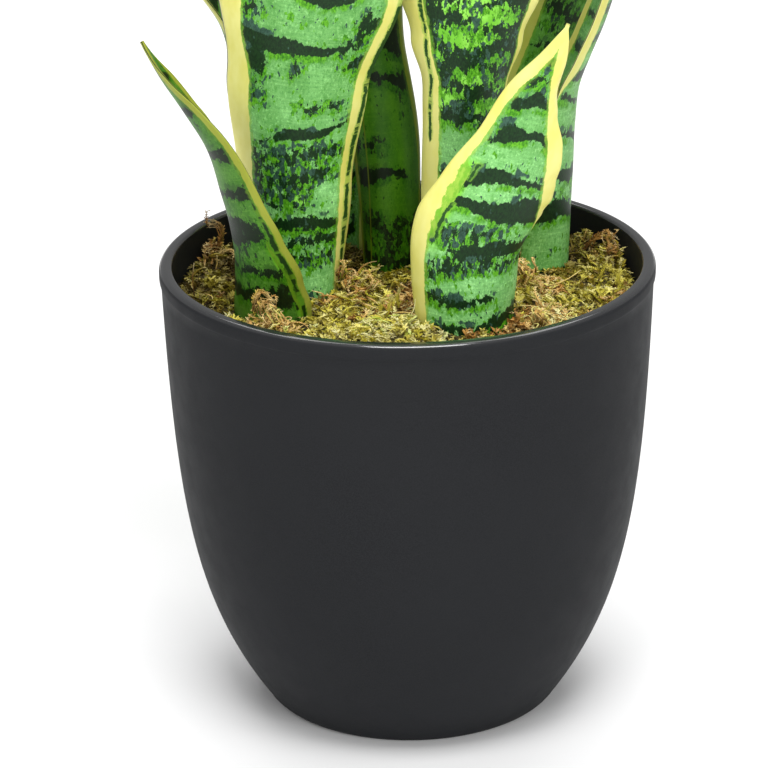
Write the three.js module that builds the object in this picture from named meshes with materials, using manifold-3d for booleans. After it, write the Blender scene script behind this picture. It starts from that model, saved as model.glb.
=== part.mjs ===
// Potted snake plant: a tapering round pot with a rolled rim, a filler block that fills it,
// a bed of dried moss with loose tufts on it, and a cluster of upright sword-shaped leaves.
// Millimetres, +Z up. The origin is the middle of the flat foot that the pot stands on.
// Every leaf is rolled into a gutter at its root and opens out as it rises to a pointed tip.

import * as THREE from 'three';
import Module from 'manifold-3d';
import { ParametricGeometry } from 'three/addons/geometries/ParametricGeometry.js';
import { mergeVertices } from 'three/addons/utils/BufferGeometryUtils.js';

// Driving dimensions of the pot.
const POT_HEIGHT = 155;
const RIM_RADIUS = 82.5;
const RIM_INNER_RADIUS = 78;
const FOOT_RADIUS = 46;
const BEAD_DEPTH = 5.5;
const FLOOR_THICKNESS = 4;

// Control points of the curved pot wall as radius and height, outside and inside.
const OUTER_WALL = [[48.5, 0], [73.9, 34.6], [79.05, 67.7], [81.9, 149.5]];
const INNER_WALL = [[45.5, 4], [70.2, 37.0], [75.4, 70.0], [78.0, 151.0]];

// Levels inside the pot.
const GAP = 0.3;
const FILLER_TOP = 132;
const MOSS_EDGE_LEVEL = 144.6;
const MOSS_MIDDLE_LEVEL = 148.6;

// Leaf sheet.
const LEAF_THICKNESS = 1.8;
const MARGIN_THICKNESS = 0.8;
const ROOT_DEPTH = 26;
const SLOT_GAP = 0.35;
const ACROSS = 8;

const ROUND_SEGMENTS = 40;

// Each leaf has a keel path through x, y, z points that starts at the moss, then profiles
// given against the distance along the keel from there: the compass bearing that its
// outer face looks towards (0 is -Y, 90 is +X), its width round the curve, and the angle
// it curls through. The last part of its length, tip, narrows to the point.
const LEAVES = [
  {
    name: 'leaf_tall_front_left',
    keel: [[-38, -17.3, 138], [-38.2, -20, 180], [-35.3, -25, 219], [-29.8, -30, 253],
      [-18, -38, 340], [-8, -48, 470], [-14, -62, 640], [-34, -84, 880]],
    bearing: [[0, -10], [120, 0], [400, -8], [750, -20]],
    width: [[0, 44], [46, 47.5], [83, 52], [117, 64], [170, 70], [400, 66], [560, 54]],
    curl: [[0, 190], [46, 132], [83, 100], [117, 75], [220, 60], [745, 40]],
    tip: 260,
    stations: 15,
  },
  {
    name: 'leaf_short_left',
    keel: [[-50.2, -34, 138], [-53, -35, 165], [-58.2, -35, 188], [-63.8, -34, 205],
      [-71, -32.5, 217], [-78, -31, 228], [-84, -29, 239]],
    bearing: [[0, -32], [50, -65], [80, -84], [100, -96], [125, -92]],
    width: [[0, 47], [9, 46], [20, 40.8], [35, 34.5], [50, 32.8], [80, 39], [125, 36]],
    curl: [[0, 200], [60, 110], [125, 70]],
    tip: 70,
    power: 1.3,
    stations: 9,
  },
  {
    name: 'leaf_tall_centre',
    keel: [[-4.5, 5.5, 138], [-5.6, 7, 190], [-10.2, 9, 225], [-14, 11, 252],
      [-21, 17, 400], [-24, 26, 600], [-24, 42, 790]],
    bearing: [[0, 5], [150, 10], [650, 0]],
    width: [[0, 32], [50, 33], [84, 30.5], [130, 41], [250, 56], [450, 52]],
    curl: [[0, 200], [80, 150], [130, 110], [250, 80], [650, 50]],
    tip: 260,
    stations: 12,
  },
  {
    name: 'leaf_tall_front_right',
    keel: [[17.6, -18, 138], [18.4, -18, 180], [20.1, -18.5, 215], [21.8, -19, 248],
      [25, -20, 290], [34, -23, 400], [40, -31, 600], [54, -50, 900]],
    bearing: [[0, 5], [110, 4], [300, 10], [760, 25]],
    width: [[0, 40], [60, 40], [80, 42], [94, 47.5], [112, 52], [200, 62], [500, 58]],
    curl: [[0, 190], [76, 176], [95, 140], [112, 95], [200, 70], [760, 45]],
    tip: 300,
    stations: 15,
  },
  {
    name: 'leaf_short_front_right',
    keel: [[25.2, -48.5, 138], [24.4, -49.3, 157], [24.9, -50, 174], [29.8, -50, 191],
      [35.2, -49.5, 206.5], [41, -48.5, 225], [46.8, -48, 237], [51.2, -47, 248.5]],
    bearing: [[0, 25], [55, 20], [75, 12], [120, 6]],
    width: [[0, 50.5], [36, 53], [57, 49], [75, 46.3], [90, 49.3], [120, 50]],
    curl: [[0, 185], [25, 160], [55, 112], [70, 90], [120, 60]],
    tip: 72,
    power: 1.2,
    sharpness: 2,
    stations: 9,
  },
  {
    name: 'leaf_middle_right',
    keel: [[52.8, 18, 138], [55.3, 18, 175], [56.4, 17.5, 196], [58, 17.5, 210],
      [61.5, 17, 220], [65.8, 16.5, 231], [70.5, 16, 246], [79, 15, 275], [89, 13, 340],
      [97, 10, 440], [112, 4, 560]],
    bearing: [[0, 62], [40, 76], [70, 88], [100, 90], [430, 98]],
    width: [[0, 37], [60, 34], [90, 32], [130, 33], [250, 43]],
    curl: [[0, 190], [60, 110], [85, 80], [110, 72], [430, 50]],
    tip: 200,
    stations: 15,
  },
  {
    name: 'leaf_tall_back_right',
    keel: [[32.7, 47.2, 138], [39.5, 52, 165], [50, 58.5, 195], [60, 64, 221],
      [70, 68, 250], [84.5, 73, 300], [100.5, 80.5, 400], [110, 90, 540], [116, 106, 680]],
    bearing: [[0, 140], [80, 112], [560, 110]],
    width: [[0, 36], [100, 42], [200, 50], [400, 48]],
    curl: [[0, 185], [100, 90], [560, 50]],
    tip: 250,
    stations: 12,
  },
  {
    name: 'leaf_middle_back_left',
    keel: [[-55.5, 28.5, 138], [-55.5, 31, 180], [-56, 34, 209], [-60, 37, 229],
      [-72, 39, 247], [-92, 42, 268], [-112, 46, 300], [-128, 50, 345]],
    bearing: [[0, -125], [70, -112], [260, -105]],
    width: [[0, 34], [100, 40], [160, 45], [260, 44]],
    curl: [[0, 180], [100, 90], [260, 60]],
    tip: 150,
    stations: 9,
  },
  {
    name: 'leaf_tall_back_left',
    keel: [[-25.5, 46, 138], [-25.5, 48, 190], [-29, 50, 240], [-36, 54, 400],
      [-44, 63, 600], [-60, 84, 840]],
    bearing: [[0, -176], [100, -170], [700, -150]],
    width: [[0, 33], [100, 38], [240, 56], [450, 52]],
    curl: [[0, 180], [100, 120], [240, 70], [700, 45]],
    tip: 280,
    stations: 12,
  },
  {
    name: 'leaf_short_back_left',
    keel: [[-14.4, 68.6, 138], [-15, 72, 165], [-18, 79, 200], [-23, 90, 250],
      [-31, 104, 330]],
    bearing: [[0, -172], [200, -165]],
    width: [[0, 32], [60, 38], [120, 42]],
    curl: [[0, 185], [60, 120], [200, 60]],
    tip: 120,
    stations: 12,
  },
];

// Loose tufts of moss on the bed: middle x and y, half sizes along x, y and z, and a turn.
const TUFTS = [
  { name: 'moss_tuft_back_left', at: [-65.5, 29], size: [5, 6, 13], turn: 20 },
  { name: 'moss_tuft_left_curl', at: [-43, -45.5], size: [7, 4.5, 8], turn: 35 },
  { name: 'moss_tuft_middle', at: [-17.5, -12], size: [5, 8, 7], turn: -15 },
  { name: 'moss_tuft_front', at: [-6, -46], size: [10, 8, 5], turn: 0 },
  { name: 'moss_tuft_right', at: [44, -6], size: [6, 8, 7], turn: 10 },
  { name: 'moss_tuft_front_right', at: [47, -36], size: [8, 7, 6], turn: 40 },
  { name: 'moss_tuft_back_right', at: [67, 26], size: [6, 9, 7], turn: -20 },
  { name: 'moss_tuft_far_left', at: [-42, 54], size: [9, 7, 6], turn: 45 },
];

// Smooth interpolation through [distance, value] stations.
function ramp(stations, d) {
  if (d <= stations[0][0]) {
    return stations[0][1];
  }
  for (let i = 1; i < stations.length; i += 1) {
    const [d0, v0] = stations[i - 1];
    const [d1, v1] = stations[i];
    if (d <= d1) {
      const k = (d - d0) / (d1 - d0);
      return v0 + (v1 - v0) * k * k * (3 - 2 * k);
    }
  }
  return stations[stations.length - 1][1];
}

// The keel curve of a leaf, carried straight down below the moss as its root.
function keelCurve(leaf) {
  const points = leaf.keel.map(([x, y, z]) => new THREE.Vector3(x, y, z));
  const down = points[0].clone().sub(points[1]).normalize();
  const root = points[0].clone().addScaledVector(down, ROOT_DEPTH);
  const curve = new THREE.CatmullRomCurve3([root, ...points], false, 'chordal');
  curve.arcLengthDivisions = 800;
  return curve;
}

// One point of the leaf at distance d along the keel from the moss, at s across from -1
// to 1, and at depth mm behind the outer face.
function leafPoint(leaf, curve, length, d, s, depth, target) {
  const u = THREE.MathUtils.clamp((d + ROOT_DEPTH) / length, 0, 1);
  const along = curve.getTangentAt(u);
  const keel = curve.getPointAt(u);
  const bearing = THREE.MathUtils.degToRad(ramp(leaf.bearing, d));
  const out = new THREE.Vector3(Math.sin(bearing), -Math.cos(bearing), 0);
  out.addScaledVector(along, -out.dot(along)).normalize();
  const side = new THREE.Vector3().crossVectors(along, out);
  const rise = length - ROOT_DEPTH;
  const x = THREE.MathUtils.clamp((d - (rise - leaf.tip)) / leaf.tip, 0, 1);
  const narrow = (1 - x ** (leaf.power ?? 1.7)) ** ((leaf.sharpness ?? 1.6) / 2);
  const width = Math.max(ramp(leaf.width, d) * narrow, 1.2);
  const curl = THREE.MathUtils.degToRad(ramp(leaf.curl, d)) * Math.min(1, width / 12);
  const radius = width / curl;
  const angle = (s * curl) / 2;
  const reach = radius - depth;
  const lateral = reach * Math.sin(angle);
  const inward = radius - reach * Math.cos(angle);
  target.copy(keel).addScaledVector(side, lateral).addScaledVector(out, -inward);
}

// Distances along the keel at which the leaf is shaped. The slots that the roots stand in
// follow the same first few.
const ROOT_STATIONS = [-ROOT_DEPTH, 3, 24, 45];

function leafStations(leaf, length) {
  const last = ROOT_STATIONS[ROOT_STATIONS.length - 1];
  const end = length - ROOT_DEPTH;
  const rest = [];
  for (let i = 1; i <= leaf.stations; i += 1) {
    rest.push(last + (end - last) * (i / leaf.stations) ** 1.15);
  }
  return [...ROOT_STATIONS, ...rest];
}

// A closed leaf solid through a list of distances along the keel. grow widens it all round.
function leafGeometry(leaf, curve, length, distances, grow) {
  const loop = 2 * (ACROSS + 1);
  const count = distances.length;
  const rows = count + 1;
  const build = (u, v, target) => {
    const ring = Math.round(u * loop) % loop;
    const row = Math.round(v * rows);
    const onOuter = ring <= ACROSS;
    const column = onOuter ? ring : loop - 1 - ring;
    const s = (column / ACROSS) * 2 - 1;
    const d = distances[THREE.MathUtils.clamp(row - 1, 0, count - 1)];
    const tipFade = Math.min(1, (length - ROOT_DEPTH - d) / 30 + 0.35);
    const bulge = (LEAF_THICKNESS - MARGIN_THICKNESS) * (1 - s ** 4) * tipFade;
    const sheet = MARGIN_THICKNESS + bulge;
    const wide = 1 + (grow * 2) / Math.max(ramp(leaf.width, d), 10);
    const outer = -grow;
    const inner = sheet + grow;
    const capped = row === 0 || row === rows;
    const open = onOuter ? outer : inner;
    const depth = capped ? (outer + inner) / 2 : open;
    leafPoint(leaf, curve, length, d, s * wide, depth, target);
  };
  return new ParametricGeometry(build, loop, rows);
}

function leafSolid(leaf) {
  const curve = keelCurve(leaf);
  const length = curve.getLength();
  return toSolid(leafGeometry(leaf, curve, length, leafStations(leaf, length), 0));
}

function slotSolid(leaf) {
  const curve = keelCurve(leaf);
  const distances = [...ROOT_STATIONS];
  distances[0] -= SLOT_GAP;
  return toSolid(leafGeometry(leaf, curve, curve.getLength(), distances, SLOT_GAP));
}

// Joins shared corners and drops collapsed triangles, so that the skin is one closed shell.
function welded(geometry) {
  const bare = new THREE.BufferGeometry();
  bare.setAttribute('position', geometry.getAttribute('position'));
  bare.setIndex(geometry.getIndex());
  const joined = mergeVertices(bare, 1e-3);
  const index = joined.getIndex().array;
  const kept = [];
  for (let i = 0; i < index.length; i += 3) {
    const [a, b, c] = [index[i], index[i + 1], index[i + 2]];
    if (a !== b && b !== c && c !== a) {
      kept.push(a, b, c);
    }
  }
  joined.setIndex(kept);
  return joined;
}

const wasm = await Module();
wasm.setup();

// A solid for boolean work, turned the right way out.
function toSolid(geometry) {
  const clean = welded(geometry);
  const position = clean.getAttribute('position').array;
  const index = Array.from(clean.getIndex().array);
  const make = (tris) => new wasm.Manifold(new wasm.Mesh({
    numProp: 3,
    vertProperties: Float32Array.from(position),
    triVerts: Uint32Array.from(tris),
  }));
  const solid = make(index);
  if (solid.volume() > 0) {
    return solid;
  }
  const flipped = [];
  for (let i = 0; i < index.length; i += 3) {
    flipped.push(index[i], index[i + 2], index[i + 1]);
  }
  return make(flipped);
}

function toGeometry(solid) {
  const mesh = solid.getMesh();
  const geometry = new THREE.BufferGeometry();
  const position = new Float32Array(mesh.numVert * 3);
  for (let i = 0; i < mesh.numVert; i += 1) {
    for (let k = 0; k < 3; k += 1) {
      position[i * 3 + k] = mesh.vertProperties[i * mesh.numProp + k];
    }
  }
  geometry.setAttribute('position', new THREE.BufferAttribute(position, 3));
  geometry.setIndex(Array.from(mesh.triVerts));
  geometry.computeVertexNormals();
  return geometry;
}

// A turned solid from a profile of [radius, height] that starts and ends on the axis.
function turned(profile, segments) {
  const points = profile.map(([r, z]) => new THREE.Vector2(r, z));
  const lathe = new THREE.LatheGeometry(points, segments);
  lathe.rotateX(Math.PI / 2);
  return lathe;
}

function wallCurve(control) {
  const points = control.map(([r, z]) => new THREE.Vector2(r, z));
  return new THREE.CubicBezierCurve(...points);
}

const outerCurve = wallCurve(OUTER_WALL);
const WALL_STEPS = 8;
const innerWall = wallCurve(INNER_WALL).getPoints(WALL_STEPS);

// Inner radius of the pot at a height.
function innerRadius(z) {
  for (let i = 1; i < innerWall.length; i += 1) {
    const low = innerWall[i - 1];
    const high = innerWall[i];
    if (z <= high.y || i === innerWall.length - 1) {
      return low.x + ((high.x - low.x) * (z - low.y)) / (high.y - low.y);
    }
  }
  return RIM_INNER_RADIUS;
}

function potProfile() {
  const profile = [[0, 0], [FOOT_RADIUS, 0]];
  const foot = outerCurve.getPoint(0.035);
  const fillet = new THREE.QuadraticBezierCurve(
    new THREE.Vector2(FOOT_RADIUS, 0),
    new THREE.Vector2(FOOT_RADIUS + 3, 0),
    foot,
  );
  for (let i = 1; i < 4; i += 1) {
    const p = fillet.getPoint(i / 4);
    profile.push([p.x, p.y]);
  }
  for (let i = 0; i <= WALL_STEPS; i += 1) {
    const p = outerCurve.getPoint(0.035 + 0.965 * (i / WALL_STEPS));
    profile.push([p.x, p.y]);
  }
  const beadBottom = POT_HEIGHT - BEAD_DEPTH;
  const roll = 2.2;
  profile.push([RIM_RADIUS - 0.1, beadBottom + 0.6]);
  profile.push([RIM_RADIUS, beadBottom + 1.6]);
  for (let i = 0; i <= 4; i += 1) {
    const a = (i / 4) * (Math.PI / 2);
    const r = RIM_RADIUS - roll + roll * Math.cos(a);
    profile.push([r, POT_HEIGHT - roll + roll * Math.sin(a)]);
  }
  const inside = 1.2;
  for (let i = 0; i <= 3; i += 1) {
    const a = Math.PI / 2 + (i / 3) * (Math.PI / 2);
    const r = RIM_INNER_RADIUS + inside + inside * Math.cos(a);
    profile.push([r, POT_HEIGHT - inside + inside * Math.sin(a)]);
  }
  for (const p of [...innerWall].reverse()) {
    profile.push([p.x, p.y]);
  }
  profile.push([0, FLOOR_THICKNESS]);
  return profile;
}

// The profile of something that fills the pot between two heights, clear of the wall.
function fillProfile(bottom, edge, middle, gap) {
  const profile = [[0, bottom]];
  const levels = innerWall.map((p) => p.y).filter((z) => z > bottom && z < edge);
  for (const z of [bottom, ...levels, edge]) {
    profile.push([innerRadius(z) - gap, z]);
  }
  const rim = innerRadius(edge) - gap;
  const rings = middle > edge ? 3 : 1;
  for (let i = 1; i < rings; i += 1) {
    const r = 1 - i / rings;
    profile.push([rim * r, edge + (middle - edge) * (1 - r * r)]);
  }
  profile.push([0, middle]);
  return profile;
}

const MOSS_BOTTOM = FILLER_TOP + GAP;
const filler = toSolid(turned(
  fillProfile(FLOOR_THICKNESS + GAP, FILLER_TOP, FILLER_TOP, GAP), ROUND_SEGMENTS));
const bed = toSolid(turned(
  fillProfile(MOSS_BOTTOM, MOSS_EDGE_LEVEL, MOSS_MIDDLE_LEVEL, GAP), ROUND_SEGMENTS));

const roots = LEAVES.map(slotSolid);

function cutRoots(solid) {
  return roots.reduce((rest, root) => rest.subtract(root), solid);
}

// A ragged lump: a ball pushed in and out by a few waves, then cut to the bed, the wall
// and the leaves beside it.
const bedBelow = toSolid(turned(
  fillProfile(MOSS_BOTTOM, MOSS_EDGE_LEVEL + GAP, MOSS_MIDDLE_LEVEL + GAP, -2), ROUND_SEGMENTS));
const potInside = toSolid(turned(fillProfile(MOSS_BOTTOM, 175, 175, 1), ROUND_SEGMENTS));

function tuftSolid(tuft) {
  const ball = new THREE.IcosahedronGeometry(1, 1);
  const position = ball.getAttribute('position');
  const p = new THREE.Vector3();
  for (let i = 0; i < position.count; i += 1) {
    p.fromBufferAttribute(position, i);
    const wave = Math.sin(4 * p.x + tuft.turn) + Math.sin(5 * p.y + 2 * p.z);
    p.multiplyScalar(1 + 0.09 * wave);
    p.multiply(new THREE.Vector3(...tuft.size));
    position.setXYZ(i, p.x, p.y, p.z);
  }
  ball.rotateZ(THREE.MathUtils.degToRad(tuft.turn));
  const [x, y] = tuft.at;
  const edge = innerRadius(MOSS_EDGE_LEVEL);
  const r = Math.hypot(x, y) / edge;
  const level = MOSS_EDGE_LEVEL + (MOSS_MIDDLE_LEVEL - MOSS_EDGE_LEVEL) * (1 - r * r);
  ball.translate(x, y, level);
  const lump = toSolid(ball).subtract(bedBelow).intersect(potInside);
  const pieces = cutRoots(lump).decompose();
  pieces.sort((a, b) => b.volume() - a.volume());
  return pieces[0];
}

const group = new THREE.Group();
group.name = 'potted_snake_plant';

function addPiece(name, geometry, color, roughness) {
  const material = new THREE.MeshStandardMaterial({ color, roughness, metalness: 0 });
  material.name = name;
  const mesh = new THREE.Mesh(geometry, material);
  mesh.name = name;
  group.add(mesh);
}

const POT_GREY = 0x323335;
const FILLER_GREY = 0x9a948a;
const MOSS_OLIVE = 0x8c8340;
const TUFT_BROWN = 0x9c7a3c;
const LEAF_GREEN = 0x2f6a3a;

addPiece('pot', toGeometry(toSolid(turned(potProfile(), ROUND_SEGMENTS))), POT_GREY, 0.55);
addPiece('filler_block', toGeometry(cutRoots(filler)), FILLER_GREY, 0.95);
addPiece('moss_bed', toGeometry(cutRoots(bed)), MOSS_OLIVE, 0.95);
for (const tuft of TUFTS) {
  addPiece(tuft.name, toGeometry(tuftSolid(tuft)), TUFT_BROWN, 0.95);
}
for (const leaf of LEAVES) {
  addPiece(leaf.name, toGeometry(leafSolid(leaf)), LEAF_GREEN, 0.5);
}

export default group;
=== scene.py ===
import math
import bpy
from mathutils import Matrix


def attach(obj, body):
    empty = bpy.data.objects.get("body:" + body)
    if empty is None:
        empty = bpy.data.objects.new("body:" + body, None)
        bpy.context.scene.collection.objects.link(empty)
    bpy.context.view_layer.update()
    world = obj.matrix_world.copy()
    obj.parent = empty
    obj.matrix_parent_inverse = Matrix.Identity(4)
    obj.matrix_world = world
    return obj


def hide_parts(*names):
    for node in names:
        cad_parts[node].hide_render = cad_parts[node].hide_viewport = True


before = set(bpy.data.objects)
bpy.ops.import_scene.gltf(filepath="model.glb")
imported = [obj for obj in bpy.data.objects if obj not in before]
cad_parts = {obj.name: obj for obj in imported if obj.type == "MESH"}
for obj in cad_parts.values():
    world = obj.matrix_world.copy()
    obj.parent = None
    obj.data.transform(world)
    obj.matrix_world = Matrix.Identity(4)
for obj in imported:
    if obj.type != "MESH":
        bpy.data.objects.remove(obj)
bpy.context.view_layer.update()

from types import SimpleNamespace

import bpy
import numpy as np
from mathutils import Matrix, Vector
from mathutils.bvhtree import BVHTree

MM = 0.001

# ---------------------------------------------------------------- sizes and seeds
# Sizes are in mm. Those of the pot, the moss bed and the leaves are the CAD's.
POT_HEIGHT = 155
RIM_RADIUS = 82.5
RIM_INNER_RADIUS = 78
LIP_OUTER_ROLL = 2.2
LIP_INNER_ROLL = 1.2
FOOT_RADIUS = 46
FOOT_BEVEL = 3
BEAD_DEPTH = 5.5
BEAD_EDGE = [(0.38, 0.25), (0.2, 0.5), (0.07, 0.9), (0, 1.5)]  # back from the rim, and up
FLOOR_THICKNESS = 4
INNER_FLOOR_RADIUS = 44
OUTER_WALL = [(48.5, 0), (73.9, 34.6), (79.05, 67.7), (81.9, 149.5)]
WALL_START = 0.035  # the share of the outer wall's curve that the foot's bevel takes
INNER_WALL = [(45.5, 4), (70.2, 37.0), (75.4, 70.0), (78.0, 151.0)]
MOSS_RADIUS = 77.2
MOSS_BOTTOM = 132.6
MOSS_EDGE = 144.6
MOSS_MIDDLE = 148.6
MAT_DROP = 1.6  # the mat's top lies that far under the CAD's bed, and its strands stand over it
FRONT_RISE = 2.4
SUNK_X, SUNK_DEPTH = 28, 5.0  # the moss is sunk in front of the short front leaf
FROND_HEIGHT, SUNK_FROND_HEIGHT = 9.0, 2.4
FRONDS_TRIED = 6600
FROND_RADIUS = 76.5
STRAND_REACH = 84  # strands that lie over the rim end inside that radius
LEAF_THICKNESS = 1.8
MARGIN_THICKNESS = 0.8
EDGE_BULGE = 0.22 * MARGIN_THICKNESS
ROOT_DEPTH = 26
FINE_LENGTH = 128  # the stretch above the moss with the closest rows of points
RIPPLE_SEED, PRINT_SEED, FROND_SEED, TUFT_SEED = 1000, 5000, 300, 700
LUMP_SEED, PATCH_SEED, HOLLOW_SEED = 60, 7, 8

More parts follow.
